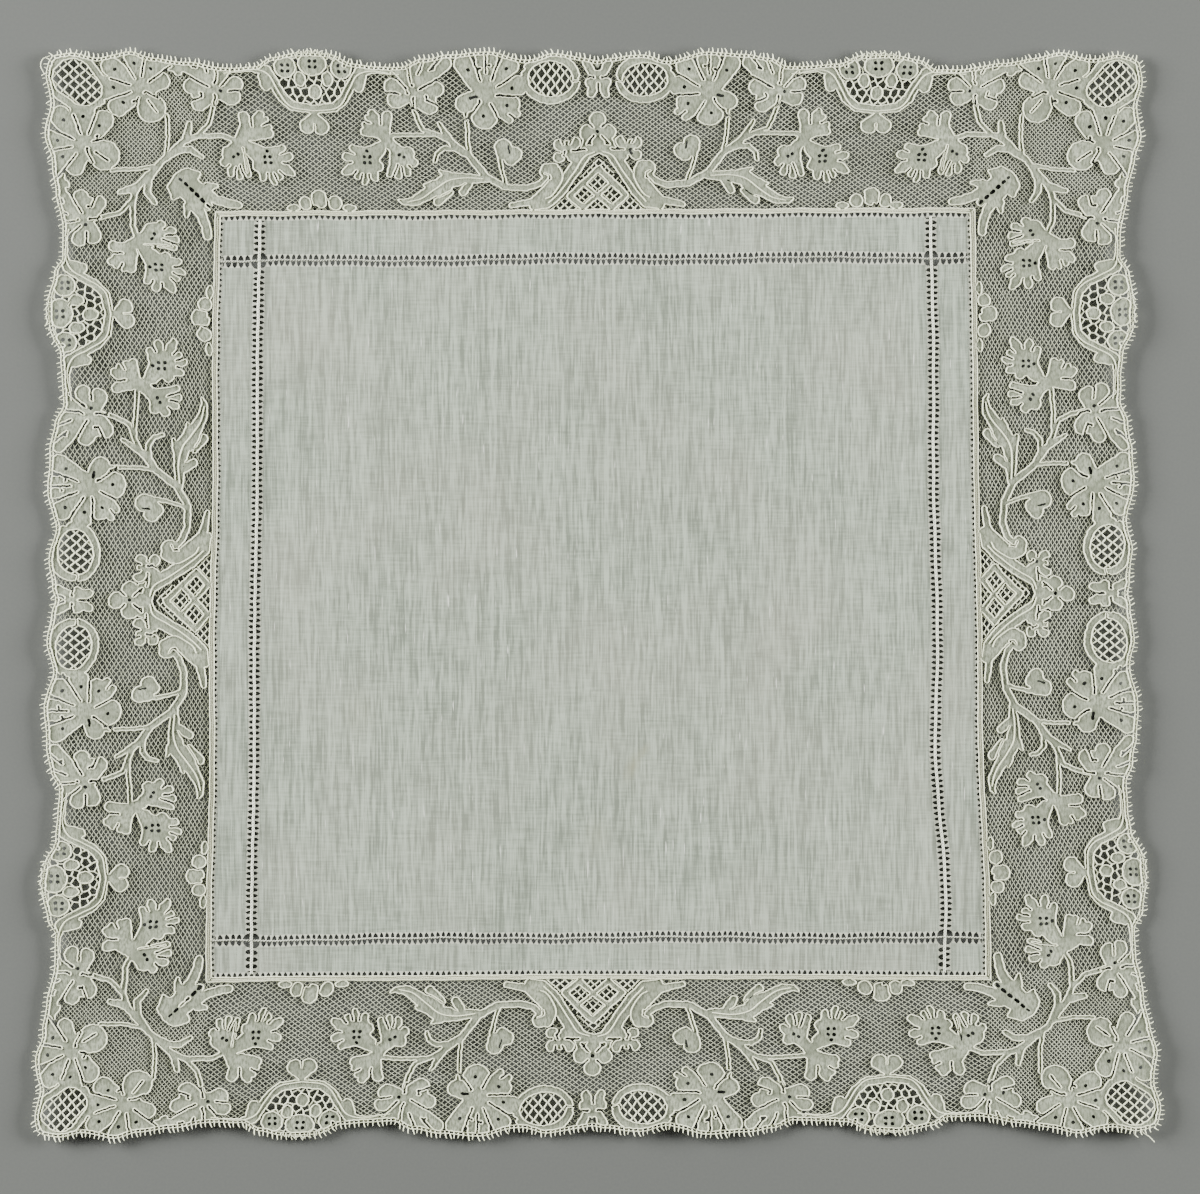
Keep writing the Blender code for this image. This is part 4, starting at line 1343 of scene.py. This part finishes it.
def linen_panels():
    """Nine panels of linen parted by the drawn-thread rows, as one sheet."""
    points, faces, base = [], [], 0
    for x0, x1 in panel_lines(LADDERS["left"], LADDERS["right"], JOIN_GAP_SIDES):
        for y0, y1 in panel_lines(LADDERS["bottom"], LADDERS["top"], JOIN_GAP_ENDS):
            across_count = max(3, int((x1 - x0) / PANEL_STEP))
            up_count = max(3, int((y1 - y0) / PANEL_STEP))
            x, y = np.meshgrid(np.linspace(x0, x1, across_count + 1), np.linspace(y0, y1, up_count + 1))
            points.append(laid(x.ravel(), y.ravel(), LINEN_Z))
            index = np.arange(x.size).reshape(x.shape) + base
            corners = (index[:-1, :-1], index[:-1, 1:], index[1:, 1:], index[1:, :-1])
            faces.append(np.stack(corners, -1).reshape(-1, 4))
            base += x.size
    cloth = mesh_object("linen_centre", np.concatenate(points), (), np.concatenate(faces).tolist())
    cloth.data.materials.append(LINEN)
    for face in cloth.data.polygons:
        face.use_smooth = True
    return cloth


def cloth_tooth(name, reach, tip):
    """Bundle of cloth threads drawn together by a stitch: wide at the cloth, narrow at its tip."""
    half = STITCH_PITCH / 2
    waist = 0.28 * half + 0.6 * tip
    outline = ((-half, -0.12, 0.0), (half, -0.12, 0.0), (waist, 0.36 * reach, 0.02),
               (tip, reach, 0.10), (-tip, reach, 0.10), (-waist, 0.36 * reach, 0.02))
    return mesh_object(name, [tuple(value * MM for value in point) for point in outline], (),
                       [tuple(range(len(outline)))])


def level_line(y, x0, x1, backwards):
    """World route of a level line across the cloth; backwards turns its left side down."""
    x = np.linspace(x1, x0, 90) if backwards else np.linspace(x0, x1, 90)
    return laid(x, np.full(90, y), LINEN_Z)


def upright_line(x, y0, y1, backwards):
    y = np.linspace(y1, y0, 90) if backwards else np.linspace(y0, y1, 90)
    return laid(np.full(90, x), y, LINEN_Z)


def level_rows():
    """Cloth edges of the level drawn-thread rows, with their left side to the gap."""
    rows = []
    inset = STITCH_PITCH / 2
    for y in (-LADDERS["bottom"], LADDERS["top"]):
        for x0, x1 in panel_lines(LADDERS["left"], LADDERS["right"], JOIN_GAP_SIDES):
            rows.append(level_line(y - LADDER_HALF, x0 + inset, x1 - inset, False))
            rows.append(level_line(y + LADDER_HALF, x0 + inset, x1 - inset, True))
    return rows


def upright_rows():
    rows = []
    inset = STITCH_PITCH / 2
    for x in (-LADDERS["left"], LADDERS["right"]):
        for y0, y1 in panel_lines(LADDERS["bottom"], LADDERS["top"], JOIN_GAP_ENDS):
            rows.append(upright_line(x - LADDER_HALF, y0 + inset, y1 - inset, True))
            rows.append(upright_line(x + LADDER_HALF, y0 + inset, y1 - inset, False))
    return rows


def end_joins():
    half, reach = CLOTH_HALF - JOIN_GAP_SIDES, CLOTH_HALF - JOIN_GAP_ENDS
    return [level_line(reach, -half, half, False), level_line(-reach, -half, half, True)]


def side_joins():
    half, reach = CLOTH_HALF - JOIN_GAP_ENDS, CLOTH_HALF - JOIN_GAP_SIDES
    return [upright_line(reach, -half, half, True), upright_line(-reach, -half, half, False)]


TWIST = 0.17
LEVEL_STRAND = 0.34
UPRIGHT_STRAND = 0.52


def twisted_cords(level):
    """Two strands twisted together along the middle of each drawn-thread row."""
    routes = []
    half = CLOTH_HALF - (JOIN_GAP_SIDES if level else JOIN_GAP_ENDS) + 0.4
    along = np.arange(-half, half, STITCH_PITCH / 5)
    for phase in (0.0, math.pi):
        turn = along * math.tau / STITCH_PITCH + phase
        wander, rise = TWIST * np.sin(turn), TWIST * np.cos(turn)
        if level:
            for y in (-LADDERS["bottom"], LADDERS["top"]):
                routes.append(laid(along, y + wander, LINEN_Z + 0.05 + rise))
        else:
            for x in (-LADDERS["left"], LADDERS["right"]):
                routes.append(laid(x + wander, along, LINEN_Z + 0.05 + rise))
    return routes


def stitched_rows():
    """Hemstitch bundles, twisted cords and the stitches that hold the lace to the cloth."""
    work = (
        ("level_bundles", level_rows(), LADDER_HALF - 0.1, 0.16, 3),
        ("upright_bundles", upright_rows(), LADDER_HALF - 0.35, 0.26, 5),
        ("end_stitches", end_joins(), JOIN_GAP_ENDS + 0.3, 0.17, 6),
        ("side_stitches", side_joins(), JOIN_GAP_SIDES + 0.3, 0.24, 8),
    )
    made = []
    for name, rows, reach, tip, seed in work:
        tooth = cloth_tooth(f"one_of_{name}", reach, tip)
        sizes = {"Piece": tooth, "Spacing": STITCH_PITCH * MM, "Lean": 0.10, "Size Change": 0.07,
                 "Seed": seed, "Material": HEMSTITCH}
        made.append(grown(thread_lines(name, rows), REPEAT, sizes))
        bpy.data.objects.remove(tooth, do_unlink=True)
    cords = (("level_cords", True, LEVEL_STRAND), ("upright_cords", False, UPRIGHT_STRAND))
    for name, level, strand in cords:
        made.append(threaded(thread_lines(name, twisted_cords(level)), strand, HEMSTITCH))
    return made


# Stage
CAMERA_HEIGHT = 1.0
PHOTO_WIDTH = 0.3600
PHOTO_CENTRE = (0.0, -0.9)
SENSOR = 36.0
# Low soft lights, so that the holes of the lace look dark: name, place in m, power in W
LIGHTS = (
    ("left light", (-1.51, 0.42, 0.29), 180.0),
    ("right light", (1.54, 0.24, 0.29), 150.0),
)
LIGHT_SIZE = (0.9, 0.3)
SKY = 0.13
FLOOR_SIZE = 12.0


def camera():
    eye = bpy.data.cameras.new("overhead camera")
    eye.sensor_width = SENSOR
    eye.lens = SENSOR * CAMERA_HEIGHT / PHOTO_WIDTH
    seat = bpy.data.objects.new("overhead camera", eye)
    seat.location = ((PHOTO_CENTRE[0] - MIDDLE[0]) * MM, (PHOTO_CENTRE[1] - MIDDLE[1]) * MM, CAMERA_HEIGHT)
    bpy.context.scene.collection.objects.link(seat)
    bpy.context.scene.camera = seat


def soft_light(name, place, power):
    """A low rectangle of light, turned to the middle of the table."""
    lamp = bpy.data.lights.new(name, "AREA")
    lamp.shape = "RECTANGLE"
    lamp.size, lamp.size_y = LIGHT_SIZE
    lamp.energy = power
    seat = bpy.data.objects.new(name, lamp)
    seat.location = place
    seat.rotation_euler = (-Vector(place)).to_track_quat("-Z", "Y").to_euler()
    bpy.context.scene.collection.objects.link(seat)


def studio():
    bpy.ops.mesh.primitive_plane_add(size=FLOOR_SIZE)
    floor = bpy.context.object
    floor.name = "board"
    floor.data.materials.append(BOARD)
    for name, place, power in LIGHTS:
        soft_light(name, place, power)
    world = bpy.data.worlds.new("studio")
    bpy.context.scene.world = world
    world.use_nodes = True
    back = world.node_tree.nodes["Background"]
    back.inputs["Color"].default_value = (1.0, 1.0, 1.0, 1.0)
    back.inputs["Strength"].default_value = SKY


def dress():
    """Makes every piece, gives it its body, and hides the model's own lace and cloth parts."""
    loops = clothwork_loops()
    sheets = clothwork(loops)
    outlines = outline_threads(loops)
    nets = [threaded(guide, NET_THREAD[side], NET, corners=3)
            for side, guide in zip(SIDE_NAMES, net_guides())]
    fillings = [threaded(thread_lines(name, routes), thick, FILLING)
                for name, routes, thick in (("window_meshes", window_meshes(), FILLING_THREAD),
                                            ("ornament_lattice", ornament_lattice(), ORNAMENT_THREAD))]
    edges = edge_work() + [foot_threads(), stray_ends()]
    linen = linen_panels()
    sewing = stitched_rows()
    lace = sheets + outlines + nets + fillings + edges
    for piece in lace + [linen] + sewing:
        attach(piece, "root")
    for sheet in sheets:
        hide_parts("lace_border")
    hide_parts("centre_cloth")
    return linen, sheets, outlines, nets, fillings, edges, sewing


studio()
camera()
pieces = dress()
